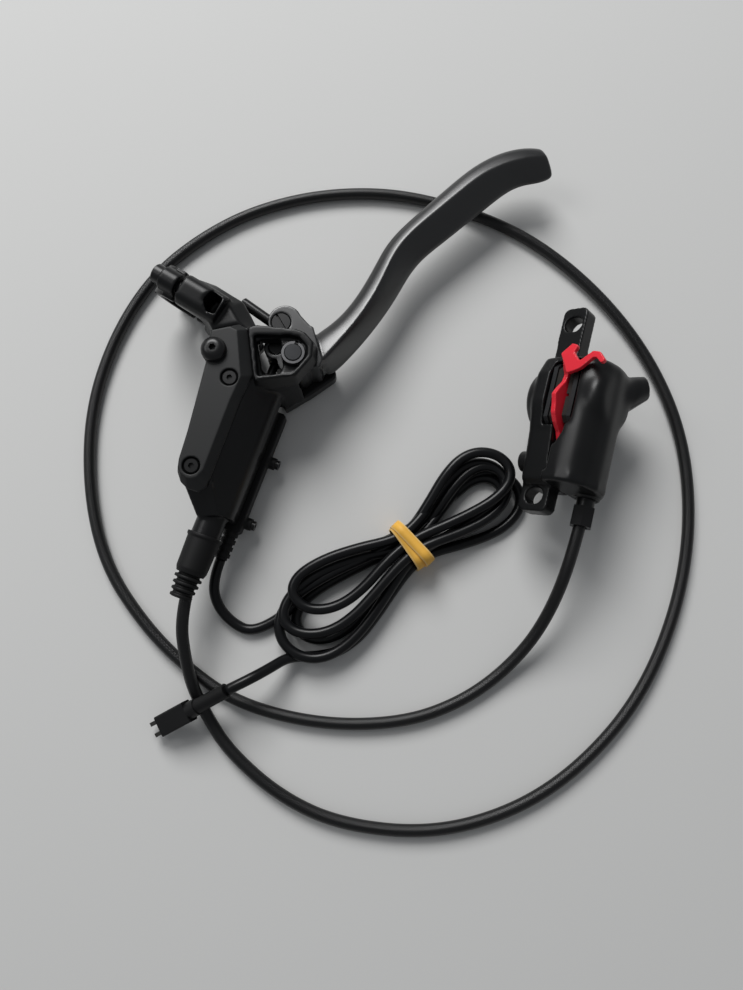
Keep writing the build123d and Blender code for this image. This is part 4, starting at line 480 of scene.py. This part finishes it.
@dataclass
class Casting:
    """A cast, forged or moulded piece: its node's form with the soft edges of the real one."""

    node: str
    name: str
    slot: str
    finish: Finish
    body: str = "housing"
    skin_mm: float = 0.45
    passes: int = 5
    soft_zone: SoftZone | None = None
    cut: Prism | None = None

    def form(self) -> bmesh.types.BMesh:
        """Gives the form that the skin is laid over, here the node's own.

        Returns:
            The form, with its doubles merged.
        """
        shape = bmesh.new()
        shape.from_mesh(frame["nodes"][self.node].data)
        bmesh.ops.remove_doubles(shape, verts=shape.verts, dist=MERGE_MM * MM)
        return shape

    def build(self) -> bpy.types.Object:
        """Lays an even skin over the form, softens its edges and puts the piece in the node's place.

        Returns:
            The piece.
        """
        rough = add_mesh(f"{self.name}_form", self.form())
        block = self.cut.build(f"{self.name}_cut") if self.cut else None
        if block:
            opening = rough.modifiers.new("opening", "BOOLEAN")
            opening.operation = "DIFFERENCE"
            opening.object = block
            opening.solver = "EXACT"
        skin = rough.modifiers.new("skin", "REMESH")
        skin.mode = "VOXEL"
        skin.voxel_size = self.skin_mm * MM
        mesh = self._evaluated(rough)
        if block:
            bpy.data.objects.remove(block)
        even = bpy.data.objects.new(f"{self.name}_even", mesh)
        bpy.context.scene.collection.objects.link(even)
        if self.soft_zone:
            self._round_zone(even)
        self._soften(even, self.passes)
        mesh = self._evaluated(even)
        mesh.name = self.name
        mesh.materials.clear()
        mesh.polygons.foreach_set("use_smooth", [True] * len(mesh.polygons))
        piece = bpy.data.objects.new(self.name, mesh)
        bpy.context.scene.collection.objects.link(piece)
        dress(piece, self.finish)
        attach(piece, self.body)
        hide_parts(self.node)
        log.info("%s, %d faces", self.name, len(mesh.polygons))
        return piece

    def _round_zone(self, even: bpy.types.Object) -> None:
        """Adds the further rounding of the soft zone.

        Args:
            even: the skinned piece.
        """
        zone = even.vertex_groups.new(name="soft_zone")
        for vertex in even.data.vertices:
            share = self.soft_zone.weight(vertex.co)
            if share > 0.0:
                zone.add([vertex.index], share, "REPLACE")
        self._soften(even, self.soft_zone.passes).vertex_group = "soft_zone"

    @staticmethod
    def _soften(piece: bpy.types.Object, passes: int) -> bpy.types.Modifier:
        """Adds a smoothing of every edge.

        Args:
            piece: the piece.
            passes: how often each point moves towards its neighbours.

        Returns:
            The modifier.
        """
        soft = piece.modifiers.new("soft_edges", "SMOOTH")
        soft.factor = SMOOTHING
        soft.iterations = passes
        return soft

    @staticmethod
    def _evaluated(piece: bpy.types.Object) -> bpy.types.Mesh:
        """Gives the mesh that a piece's modifiers make, and removes the piece.

        Args:
            piece: the piece with its modifiers.

        Returns:
            The mesh.
        """
        bpy.context.view_layer.update()
        mesh = bpy.data.meshes.new_from_object(piece.evaluated_get(bpy.context.evaluated_depsgraph_get()))
        bpy.data.objects.remove(piece)
        return mesh


@dataclass
class Blade(Casting):
    """The lever blade: the node's hub, and a forged blade with a ridge along its upper side."""

    hub_end_mm: float = 11.7
    hub_end_turn: float = math.radians(-25)
    # each station's upper left edge, ridge and lower right edge, and the blade's thickness there
    stations: tuple[tuple[tuple[float, float], tuple[float, float], tuple[float, float], float], ...] = (
        ((8.0, 5.0), (5.6, -8.2), (6.1, -10.9), 17.6),
        ((14.6, 5.4), (11.6, -7.0), (13.1, -11.0), 18.1),
        ((20.9, 4.7), (19.5, -5.4), (20.4, -10.3), 16.9),
        ((29.4, 5.1), (29.8, -3.1), (31.8, -8.4), 15.3),
        ((38.8, 7.5), (39.8, 0.0), (42.4, -5.8), 14.4),
        ((47.2, 10.6), (48.8, 3.8), (52.2, -2.8), 13.7),
        ((55.4, 14.1), (57.2, 8.3), (61.0, 0.8), 13.2),
        ((62.4, 17.1), (64.6, 11.4), (68.6, 3.0), 12.8),
        ((71.0, 18.9), (73.0, 13.1), (76.4, 3.7), 12.4),
        ((82.0, 19.7), (83.4, 13.6), (85.4, 3.5), 12.1),
        ((95.0, 20.4), (96.0, 13.9), (97.0, 3.6), 11.9),
        ((108.0, 21.1), (108.0, 14.3), (107.8, 3.5), 11.6),
        ((118.0, 20.9), (117.0, 13.8), (116.0, 3.7), 11.3),
        ((127.4, 19.1), (125.0, 11.7), (123.6, 3.2), 10.9),
        ((134.6, 16.2), (131.4, 9.2), (129.4, 1.1), 10.5),
        ((139.8, 12.9), (136.4, 6.8), (134.0, -2.0), 9.9),
        ((143.2, 9.6), (140.6, 4.1), (139.0, -4.1), 8.8),
        ((144.4, 8.2), (143.0, 3.0), (142.2, -3.7), 7.4),
    )
    # how far from the upper left edge to the ridge, and how high, in thicknesses
    left_face: tuple[tuple[float, float], ...] = (
        (0.0, 0.0), (0.05, 0.16), (0.2, 0.3), (0.5, 0.412), (0.8, 0.472), (0.97, 0.502),
    )
    right_face: tuple[tuple[float, float], ...] = (
        (0.06, 0.485), (0.3, 0.36), (0.62, 0.13), (0.9, -0.1), (1.0, -0.24),
    )
    underside: tuple[tuple[float, float], ...] = (
        (0.05, -0.37), (0.22, -0.47), (0.5, -0.5), (0.77, -0.45), (0.94, -0.31), (1.0, -0.14),
    )

    def form(self) -> bmesh.types.BMesh:
        """Joins the hub and the blade, which reaches into it.

        Returns:
            The form.
        """
        shape = super().form()
        end = BLADE_FRAME @ Vector((self.hub_end_mm * MM, 0, 0))
        along = BLADE_FRAME.to_3x3() @ Matrix.Rotation(self.hub_end_turn, 3, "Z") @ Vector((1, 0, 0))
        cut = bmesh.ops.bisect_plane(
            shape, geom=shape.verts[:] + shape.edges[:] + shape.faces[:],
            plane_co=end, plane_no=along, clear_outer=True,
        )["geom_cut"]
        bmesh.ops.holes_fill(shape, edges=[part for part in cut if isinstance(part, bmesh.types.BMEdge)], sides=0)
        made = add_mesh("blade_run", self._run())
        finer = made.modifiers.new("finer", "SUBSURF")
        finer.levels = finer.render_levels = 2
        run = self._evaluated(made)
        shape.from_mesh(run)
        bpy.data.meshes.remove(run)
        return shape

    def _run(self) -> bmesh.types.BMesh:
        """Bridges the sections of the blade and closes its two ends.

        Returns:
            The blade's cage.
        """
        shape = bmesh.new()
        rings = []
        for left, ridge, right, thick in self.stations:
            left, ridge, right = (Vector((*spot, 0)) for spot in (left, ridge, right))
            section = [(left.lerp(ridge, reach), height) for reach, height in self.left_face]
            section += [(ridge.lerp(right, reach), height) for reach, height in self.right_face]
            section += [(right.lerp(left, reach), height) for reach, height in self.underside]
            spots = [BLADE_FRAME @ ((spot + Vector((0, 0, height * thick))) * MM) for spot, height in section]
            verts = [shape.verts.new(spot) for spot in spots]
            rings.append([shape.edges.new((one, other)) for one, other in zip(verts, verts[1:] + verts[:1])])
        for ring, following in zip(rings, rings[1:]):
            bmesh.ops.bridge_loops(shape, edges=ring + following)
        for ring in (rings[0], rings[-1]):
            bmesh.ops.edgeloop_fill(shape, edges=ring)
        bmesh.ops.recalc_face_normals(shape, faces=shape.faces)
        return shape


@dataclass
class Studio:
    """The pale floor, the soft lamps and the camera over the set."""

    camera_at: Point = (-9.8 * MM, -107.8 * MM, 314.5 * MM)
    camera_tilt: float = math.radians(10)
    lens_mm: float = 27.05
    sensor_mm: float = 36
    clip_start: float = 0.01
    floor_colour: Colour = (0.62, 0.62, 0.61)
    floor_roughness: float = 0.9
    floor_half: float = 3.0
    sky_colour: Colour = (0.93, 0.96, 1.0)
    sky_strength: float = 0.22
    # each lamp's name, place, width in metres and power in watts
    lamps: tuple[tuple[str, Point, float, float], ...] = (
        ("overhead", (-0.44, 1.29, 1.25), 1.0, 30.0),
        ("left_fill", (-0.8, 0.3, 0.9), 0.5, 1.8),
    )

    def build(self) -> None:
        """Builds the floor, the lamps, the world and the camera."""
        self._camera()
        self._floor()
        self._lamps()
        bpy.context.scene.view_settings.view_transform = "Standard"

    def _camera(self) -> None:
        """Places the camera where the photograph was taken from."""
        data = bpy.data.cameras.new("camera")
        data.lens = self.lens_mm
        data.sensor_width = self.sensor_mm
        data.clip_start = self.clip_start
        camera = bpy.data.objects.new("camera", data)
        camera.location = self.camera_at
        camera.rotation_euler = (self.camera_tilt, 0, 0)
        bpy.context.scene.collection.objects.link(camera)
        bpy.context.scene.camera = camera

    def _floor(self) -> None:
        """Lays the floor sheet."""
        shape = bmesh.new()
        bmesh.ops.create_grid(shape, x_segments=1, y_segments=1, size=self.floor_half)
        floor = add_mesh("floor", shape, smooth=False)
        sheet = bpy.data.materials.new("floor_sheet")
        sheet.use_nodes = True
        shader = sheet.node_tree.nodes["Principled BSDF"]
        shader.inputs["Base Color"].default_value = (*self.floor_colour, 1)
        shader.inputs["Roughness"].default_value = self.floor_roughness
        floor.data.materials.append(sheet)

    def _lamps(self) -> None:
        """Hangs a wide soft lamp beyond the set's far side, a small one at its left and a pale world round it."""
        for name, at, size, watts in self.lamps:
            data = bpy.data.lights.new(name, "AREA")
            data.shape = "DISK"
            data.size = size
            data.energy = watts
            lamp = bpy.data.objects.new(name, data)
            lamp.location = at
            lamp.rotation_euler = (-Vector(at)).to_track_quat("-Z", "Y").to_euler()
            bpy.context.scene.collection.objects.link(lamp)
        world = bpy.data.worlds.new("studio")
        world.use_nodes = True
        sky = world.node_tree.nodes["Background"]
        sky.inputs["Color"].default_value = (*self.sky_colour, 1)
        sky.inputs["Strength"].default_value = self.sky_strength
        bpy.context.scene.world = world


@dataclass
class Line:
    """A round cord along a smooth NURBS line."""

    name: str
    points_mm: Sequence[Point]
    radius_mm: float
    sides: int = 18
    resolution: int = 10
    track: list[Vector] = field(default_factory=list)

    def centreline(self) -> list[Vector]:
        """Reads the points of the NURBS line that the route's points control.

        Returns:
            The points along the line, in metres.
        """
        curve = bpy.data.curves.new(f"{self.name}_route", "CURVE")
        curve.dimensions = "3D"
        spline = curve.splines.new("NURBS")
        spline.points.add(len(self.points_mm) - 1)
        for point, place in zip(spline.points, self.points_mm):
            point.co = (*(value * MM for value in place), 1.0)
        spline.order_u = 3
        spline.use_endpoint_u = True
        spline.resolution_u = self.resolution
        holder = bpy.data.objects.new(f"{self.name}_route", curve)
        bpy.context.scene.collection.objects.link(holder)
        bpy.context.view_layer.update()
        flat = bpy.data.meshes.new_from_object(holder.evaluated_get(bpy.context.evaluated_depsgraph_get()))
        found = [vertex.co.copy() for vertex in flat.vertices]
        bpy.data.objects.remove(holder)
        bpy.data.curves.remove(curve)
        bpy.data.meshes.remove(flat)
        self.track = [found[0]]
        self.track += [spot for before, spot in zip(found, found[1:]) if (spot - before).length > TRACK_STEP_MM * MM]
        return self.track

    def length(self) -> float:
        """Gives the line's length in metres."""
        return sum((after - before).length for before, after in zip(self.track, self.track[1:]))

    def build(self) -> bpy.types.Object:
        """Sweeps a ring along the line, with a UV map in metres round and along it.

        Returns:
            The tube.
        """
        track = self.centreline()
        shape = bmesh.new()
        layer = shape.loops.layers.uv.new("UVMap")
        side = Vector((0, 0, 1))
        rings, reach, run = [], [], 0.0
        for index, spot in enumerate(track):
            ahead = track[min(index + 1, len(track) - 1)] - track[max(index - 1, 0)]
            ahead.normalize()
            side = (side - ahead * side.dot(ahead)).normalized()
            other = ahead.cross(side)
            ring = []
            for step in range(self.sides):
                angle = math.tau * step / self.sides
                out = side * math.cos(angle) + other * math.sin(angle)
                ring.append(shape.verts.new(spot + out * self.radius_mm * MM))
            rings.append(ring)
            run += (spot - track[index - 1]).length if index else 0.0
            reach.append(run)
        round_step = math.tau * self.radius_mm * MM / self.sides
        for index, (ring, following) in enumerate(zip(rings, rings[1:])):
            for step in range(self.sides):
                ahead_step = (step + 1) % self.sides
                face = shape.faces.new((ring[step], ring[ahead_step], following[ahead_step], following[step]))
                around = (step, step + 1, step + 1, step)
                along = (reach[index], reach[index], reach[index + 1], reach[index + 1])
                for loop, turn, place in zip(face.loops, around, along):
                    loop[layer].uv = (turn * round_step, place)
        shape.faces.new(list(reversed(rings[0])))
        shape.faces.new(rings[-1])
        bmesh.ops.recalc_face_normals(shape, faces=shape.faces)
        return add_mesh(self.name, shape)


@dataclass
class BrakeHose:
    """The hydraulic hose from the lever's fitting round the floor to the caliper's port."""

    radius_mm: float = 2.45
    points_mm: tuple[Point, ...] = (
        (-75.4, -70.3, 19.0),
        (-85.9, -99.0, 19.0), (-83.3, -127.4, 9.2), (-76.8, -142.9, 2.7), (-66.8, -157.4, 2.7),
        (-46.3, -174.4, 2.7), (-22.3, -184.9, 2.7), (13.2, -188.4, 2.7), (45.7, -180.4, 2.7),
        (73.2, -163.9, 2.7), (98.7, -137.4, 2.7), (116.2, -102.9, 2.7), (125.2, -65.9, 2.7),
        (124.7, -28.4, 2.7), (114.2, 4.6, 2.7), (95.2, 34.6, 2.7), (69.2, 60.1, 2.7), (42.2, 75.6, 2.7),
        (5.7, 87.1, 2.7), (-29.3, 87.6, 2.7), (-61.8, 79.6, 2.7), (-86.8, 65.6, 2.7), (-107.8, 46.6, 2.7),
        (-123.3, 18.6, 2.7), (-131.8, -14.9, 2.7), (-130.3, -50.9, 2.7), (-121.3, -82.4, 2.7),
        (-104.3, -106.4, 2.7), (-86.3, -123.9, 2.7), (-63.8, -138.9, 2.7), (-30.8, -146.9, 2.7),
        (2.2, -146.4, 2.7), (26.2, -138.4, 2.7), (45.7, -124.9, 3.4), (60.2, -106.4, 11.0), (69.5, -79.2, 24.8),
        (76.7, -52.1, 24.8),
    )

    def build(self) -> None:
        line = Line("hose", self.points_mm, self.radius_mm, resolution=14)
        hose = line.build()
        dress(hose, PALETTE.hose)
        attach(hose, "housing")
        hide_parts("brake_hose")
        log.info("hose, %.3f m long", line.length())


@dataclass
class SensorCable:
    """The lead from the sensor through its tied coil to the plug."""

    radius_mm: float = 2.15
    coil_at: tuple[float, float] = (6.2, -74.9)
    coil_turn: float = math.radians(38)
    lead_mm: tuple[Point, ...] = (
        (-72.2, -80.4, 6.6), (-75.3, -89.4, 6.3), (-73.9, -98.7, 4.2), (-67.9, -106.1, 2.4), (-59.1, -110.5, 2.2),
    )
    coil_mm: tuple[Point, ...] = (
        # into the coil along its upper side, round the small right loop
        (-58, 9.5, 2.2), (-46, 12.5, 2.2), (-32, 13.5, 2.4), (-18, 11.5, 2.8), (-7, 8, 3.2), (0, 6.6, 3.3),
        (9, 5.5, 3.0), (19, 5, 2.6), (29, 5.5, 2.4), (38, 6, 2.4), (44.5, 3, 2.4), (47, -2.5, 2.4),
        (45, -8, 2.4), (38, -11, 2.4), (28, -10.5, 2.4), (17, -7.5, 2.6), (7, -3.8, 3.1), (0, -2.2, 3.3),
        # small left loop
        (-8, -3.5, 3.1), (-20, -7.5, 2.6), (-32.5, -10, 2.4), (-43, -11, 2.4), (-52, -8.5, 2.4),
        (-57.5, -2.5, 2.4), (-57, 4.5, 2.4), (-51, 9, 2.6), (-42, 9.5, 3.0), (-31, 8, 3.2), (-18, 5.5, 3.3),
        (-7, 3.2, 3.3), (0, 2.3, 3.3),
        # middle right loop
        (8, 2.5, 4.2), (17, 4, 5.6), (27, 7.5, 6.6), (38, 9.5, 6.8), (46, 7.5, 6.8), (50, 1.5, 6.8),
        (48, -5, 6.8), (40, -8, 6.8), (28, -8, 7.0), (15, -6.5, 7.2), (6, -5, 7.2), (0, -4.4, 7.2),
        # large left loop
        (-7, -5.5, 7.2), (-15, -8, 7.1), (-26.5, -12, 6.9), (-38.5, -15.3, 6.8), (-50, -15.8, 6.8),
        (-58.5, -12.8, 6.8), (-64, -6.5, 6.8), (-65.5, 1.5, 6.8), (-62, 8.5, 6.8), (-55.5, 12.2, 6.8),
        (-45, 12.8, 6.8), (-31, 10.8, 7.0), (-16, 7, 7.2), (-7, 5.4, 7.3), (0, 4.8, 7.3),
        # outer right loop, on top
        (7, 5.6, 8.2), (17, 9, 10.0), (29, 13.8, 11.2), (39, 15.5, 11.2), (46.8, 13.2, 11.2),
        (52.3, 7, 11.2), (53, -0.5, 11.2), (48.5, -5.2, 11.2), (40, -6.8, 11.2), (29.5, -5.5, 11.2),
        (18, -3, 11.2), (7, 0, 11.1), (0, 1.0, 11.0),
        # upper left loop, on top
        (-7, 1.0, 11.2), (-15, 0, 11.4), (-25, -2, 11.6), (-35, -2.2, 11.6), (-43, 0.2, 11.4), (-48.8, 5, 11.2),
        (-50.8, 11, 11.2), (-48.8, 16.2, 11.2), (-42.2, 18.5, 11.2), (-30.5, 16.8, 11.2), (-17.5, 12, 11.2),
        (-7, 7, 11.2), (0, 5.1, 11.2),
        # second right loop
        (7, 5.5, 10.2), (17, 8, 8.0), (28, 11.5, 6.6), (38, 12.6, 6.6), (45.2, 10, 6.6), (49.5, 4, 6.8),
        (49.4, -4, 7.2), (43.5, -9.8, 7.6), (33, -11.5, 8.2), (20, -9, 9.4), (7, -4.8, 10.8), (0, -3.4, 11.0),
        # middle left loop
        (-8, -3.6, 11.0), (-17, -5.2, 11.0), (-26, -7, 10.8), (-36, -8.5, 10.6), (-46, -7.8, 10.4),
        (-54, -4, 10.0), (-59.2, 2.2, 9.4), (-59.5, 8.6, 9.0), (-54.5, 13, 8.8), (-46, 15, 8.4),
        (-33, 13.6, 7.8), (-17, 8, 7.4), (-7, 2.5, 7.2), (0, 0.4, 7.2),
        # last right loop, lowest and furthest out
        (7, 0.5, 6.6), (18, 3, 4.6), (30, 6.5, 2.6), (40, 7.5, 2.2), (47, 4.5, 2.2), (51.5, -1.5, 2.2),
        (52.5, -8, 2.2), (50, -13.5, 2.2), (45, -17, 2.2), (37, -18.2, 2.2), (28, -16.5, 2.2), (17, -12.5, 2.4),
        (7, -8.2, 3.0), (0, -6.6, 3.3),
        # out along the lower side
        (-8, -7.6, 3.2), (-18, -10.5, 2.8), (-29, -14, 2.4), (-40, -16.6, 2.2), (-51, -15.8, 2.2), (-60, -10.5, 2.6),
    )
    tail_mm: tuple[Point, ...] = (
        (-43.5, -120.0, 5.2), (-50.8, -124.6, 11.0), (-59.0, -129.0, 16.2), (-66.4, -132.5, 15.9),
    )

    def _in_coil(self, point: Point) -> Point:
        """Turns a point of the coil's own frame into the set's frame.

        Args:
            point: how far along the coil, how far across it and how high, in millimetres.

        Returns:
            The point in the set's frame, in millimetres.
        """
        cos, sin = math.cos(self.coil_turn), math.sin(self.coil_turn)
        along, across, height = point
        return (
            self.coil_at[0] + along * cos - across * sin,
            self.coil_at[1] + along * sin + across * cos,
            height,
        )

    def build(self) -> None:
        route = [*self.lead_mm, *(self._in_coil(point) for point in self.coil_mm), *self.tail_mm]
        line = Line("sensor_cable", route, self.radius_mm, sides=16, resolution=8)
        cable = line.build()
        dress(cable, PALETTE.cable)
        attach(cable, "housing")
        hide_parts("sensor_lead", "lead_hank", "plug_lead")
        band = RubberBand(self.coil_at, self.coil_turn).build()
        log.info("sensor cable, %.3f m long", line.length())


@dataclass
class RubberBand:
    """The flat tan band round the coil, wrapped twice."""

    at: tuple[float, float]
    turn: float
    wraps: tuple[tuple[float, float, float, float], ...] = (
        # how far along the coil, extra turn in degrees, how much larger, width
        (-0.9, -3.0, 0.0, 5.0), (1.1, 5.0, 1.3, 4.4),
    )
    thickness_mm: float = 0.9
    across_mm: float = 20.9
    height_mm: float = 14.4
    corner_mm: float = 5.4
    floor_gap_mm: float = 0.2
    steps: int = 10

    def build(self) -> bpy.types.Object:
        """Builds both wraps of the band as one piece.

        Returns:
            The band.
        """
        shape = bmesh.new()
        layer = shape.loops.layers.uv.new("UVMap")
        for along, extra, larger, width in self.wraps:
            faces = self._wrap(shape, larger, width)
            for face in faces:
                for loop in face.loops:
                    loop[layer].uv = (loop.vert.co.y / MM, loop.vert.co.x / (width * MM) + 0.5)
            verts = list({vert for face in faces for vert in face.verts})
            bmesh.ops.rotate(shape, cent=(0, 0, 0), matrix=Matrix.Rotation(math.radians(extra), 3, "Z"), verts=verts)
            bmesh.ops.translate(shape, vec=(along * MM, 0, 0), verts=verts)
        bmesh.ops.rotate(shape, cent=(0, 0, 0), matrix=Matrix.Rotation(self.turn, 3, "Z"), verts=shape.verts)
        bmesh.ops.translate(shape, vec=(self.at[0] * MM, self.at[1] * MM, 0), verts=shape.verts)
        band = add_mesh("band", shape)
        dress(band, PALETTE.tan)
        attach(band, "housing")
        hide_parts("rubber_band")
        return band

    def _wrap(self, shape: bmesh.types.BMesh, larger: float, width: float) -> list[bmesh.types.BMFace]:
        """Builds one wrap about the origin: a rounded loop, drawn out to its width and thickened.

        Args:
            shape: the band's bmesh.
            larger: how much longer each way than the first wrap, in millimetres.
            width: the wrap's width in millimetres.

        Returns:
            The wrap's faces.
        """
        half_w, half_h = (self.across_mm + larger) / 2, self.height_mm / 2
        inner_w, inner_h = half_w - self.corner_mm, half_h - self.corner_mm
        loop = []
        for quarter, (sx, sy) in enumerate(((1, 1), (-1, 1), (-1, -1), (1, -1))):
            for step in range(self.steps + 1):
                angle = math.radians(90 * (quarter + step / self.steps))
                across = sx * inner_w + self.corner_mm * math.cos(angle)
                up = sy * inner_h + self.corner_mm * math.sin(angle)
                loop.append((across, max(up + half_h + larger / 2, self.floor_gap_mm)))
        ring = [shape.verts.new((-width * MM / 2, across * MM, up * MM)) for across, up in loop]
        edges = [shape.edges.new((a, b)) for a, b in zip(ring, ring[1:] + ring[:1])]
        grown = bmesh.ops.extrude_edge_only(shape, edges=edges)["geom"]
        moved = [part for part in grown if isinstance(part, bmesh.types.BMVert)]
        faces = [part for part in grown if isinstance(part, bmesh.types.BMFace)]
        bmesh.ops.translate(shape, vec=(width * MM, 0, 0), verts=moved)
        bmesh.ops.recalc_face_normals(shape, faces=faces)
        thick = bmesh.ops.solidify(shape, geom=faces, thickness=self.thickness_mm * MM)["geom"]
        verts = {vert for face in faces for vert in face.verts}
        verts |= {part for part in thick if isinstance(part, bmesh.types.BMVert)}
        return list({face for vert in verts for face in vert.link_faces})


CASTINGS: tuple[Casting, ...] = (
    Casting("lever_body", "housing_casting", "cast_housing", PALETTE.cast_black, skin_mm=0.62, passes=4),
    Casting("clamp_cap", "clamp_casting", "cast_housing", PALETTE.cast_black, skin_mm=0.4, passes=6),
    Casting("reservoir_cover", "cover_moulding", "cover_plastic", PALETTE.cover_black, skin_mm=0.32, passes=3),
    Blade("lever_blade", "blade_forging", "lever_metal", PALETTE.lever_black, body="lever", skin_mm=0.38, passes=5),
    Casting("sensor_housing", "switch_moulding", "sensor_plastic", PALETTE.sensor_black, skin_mm=0.4, passes=5),
    Casting(
        "caliper_inner_half", "inner_casting", "cast_housing", PALETTE.cast_black, passes=5,
        soft_zone=SoftZone(CALIPER_FRAME, (-20.0, -24.0, -30.0), (-0.5, 30.0, 20.0), 40),
    ),
    Casting(
        "caliper_outer_half", "outer_casting", "cast_housing", PALETTE.cast_black, passes=6,
        soft_zone=SoftZone(CALIPER_FRAME, (10.0, -30.5, -18.0), (45.0, 40.0, 20.0), 170),
        cut=Prism(
            CALIPER_FRAME,
            ((6.0, -8.0), (11.2, -8.0), (11.0, -13.0), (9.2, -17.6), (6.0, -20.5), (5.0, -20.5), (5.0, -8.0)),
            -3.0, 14.0,
        ),
    ),
    Casting("hose_boot", "boot_moulding", "rubber", PALETTE.rubber, skin_mm=0.2, passes=9),
    Casting("pad_spacer", "spacer_moulding", "red_plastic", PALETTE.red, skin_mm=0.25, passes=7),
)


def main() -> None:
    """Builds the studio, dresses the CAD nodes and adds the soft pieces."""
    Studio().build()
    for name, node in frame["nodes"].items():
        if name in NODE_FINISHES:
            dress(node, NODE_FINISHES[name])
            log.info("%s dressed in %s", name, NODE_FINISHES[name].name)
    BrakeHose().build()
    SensorCable().build()
    for casting in CASTINGS:
        casting.build()


if __name__ == "__main__":
    logging.basicConfig(level=logging.INFO, format="%(name)s: %(message)s")
    main()
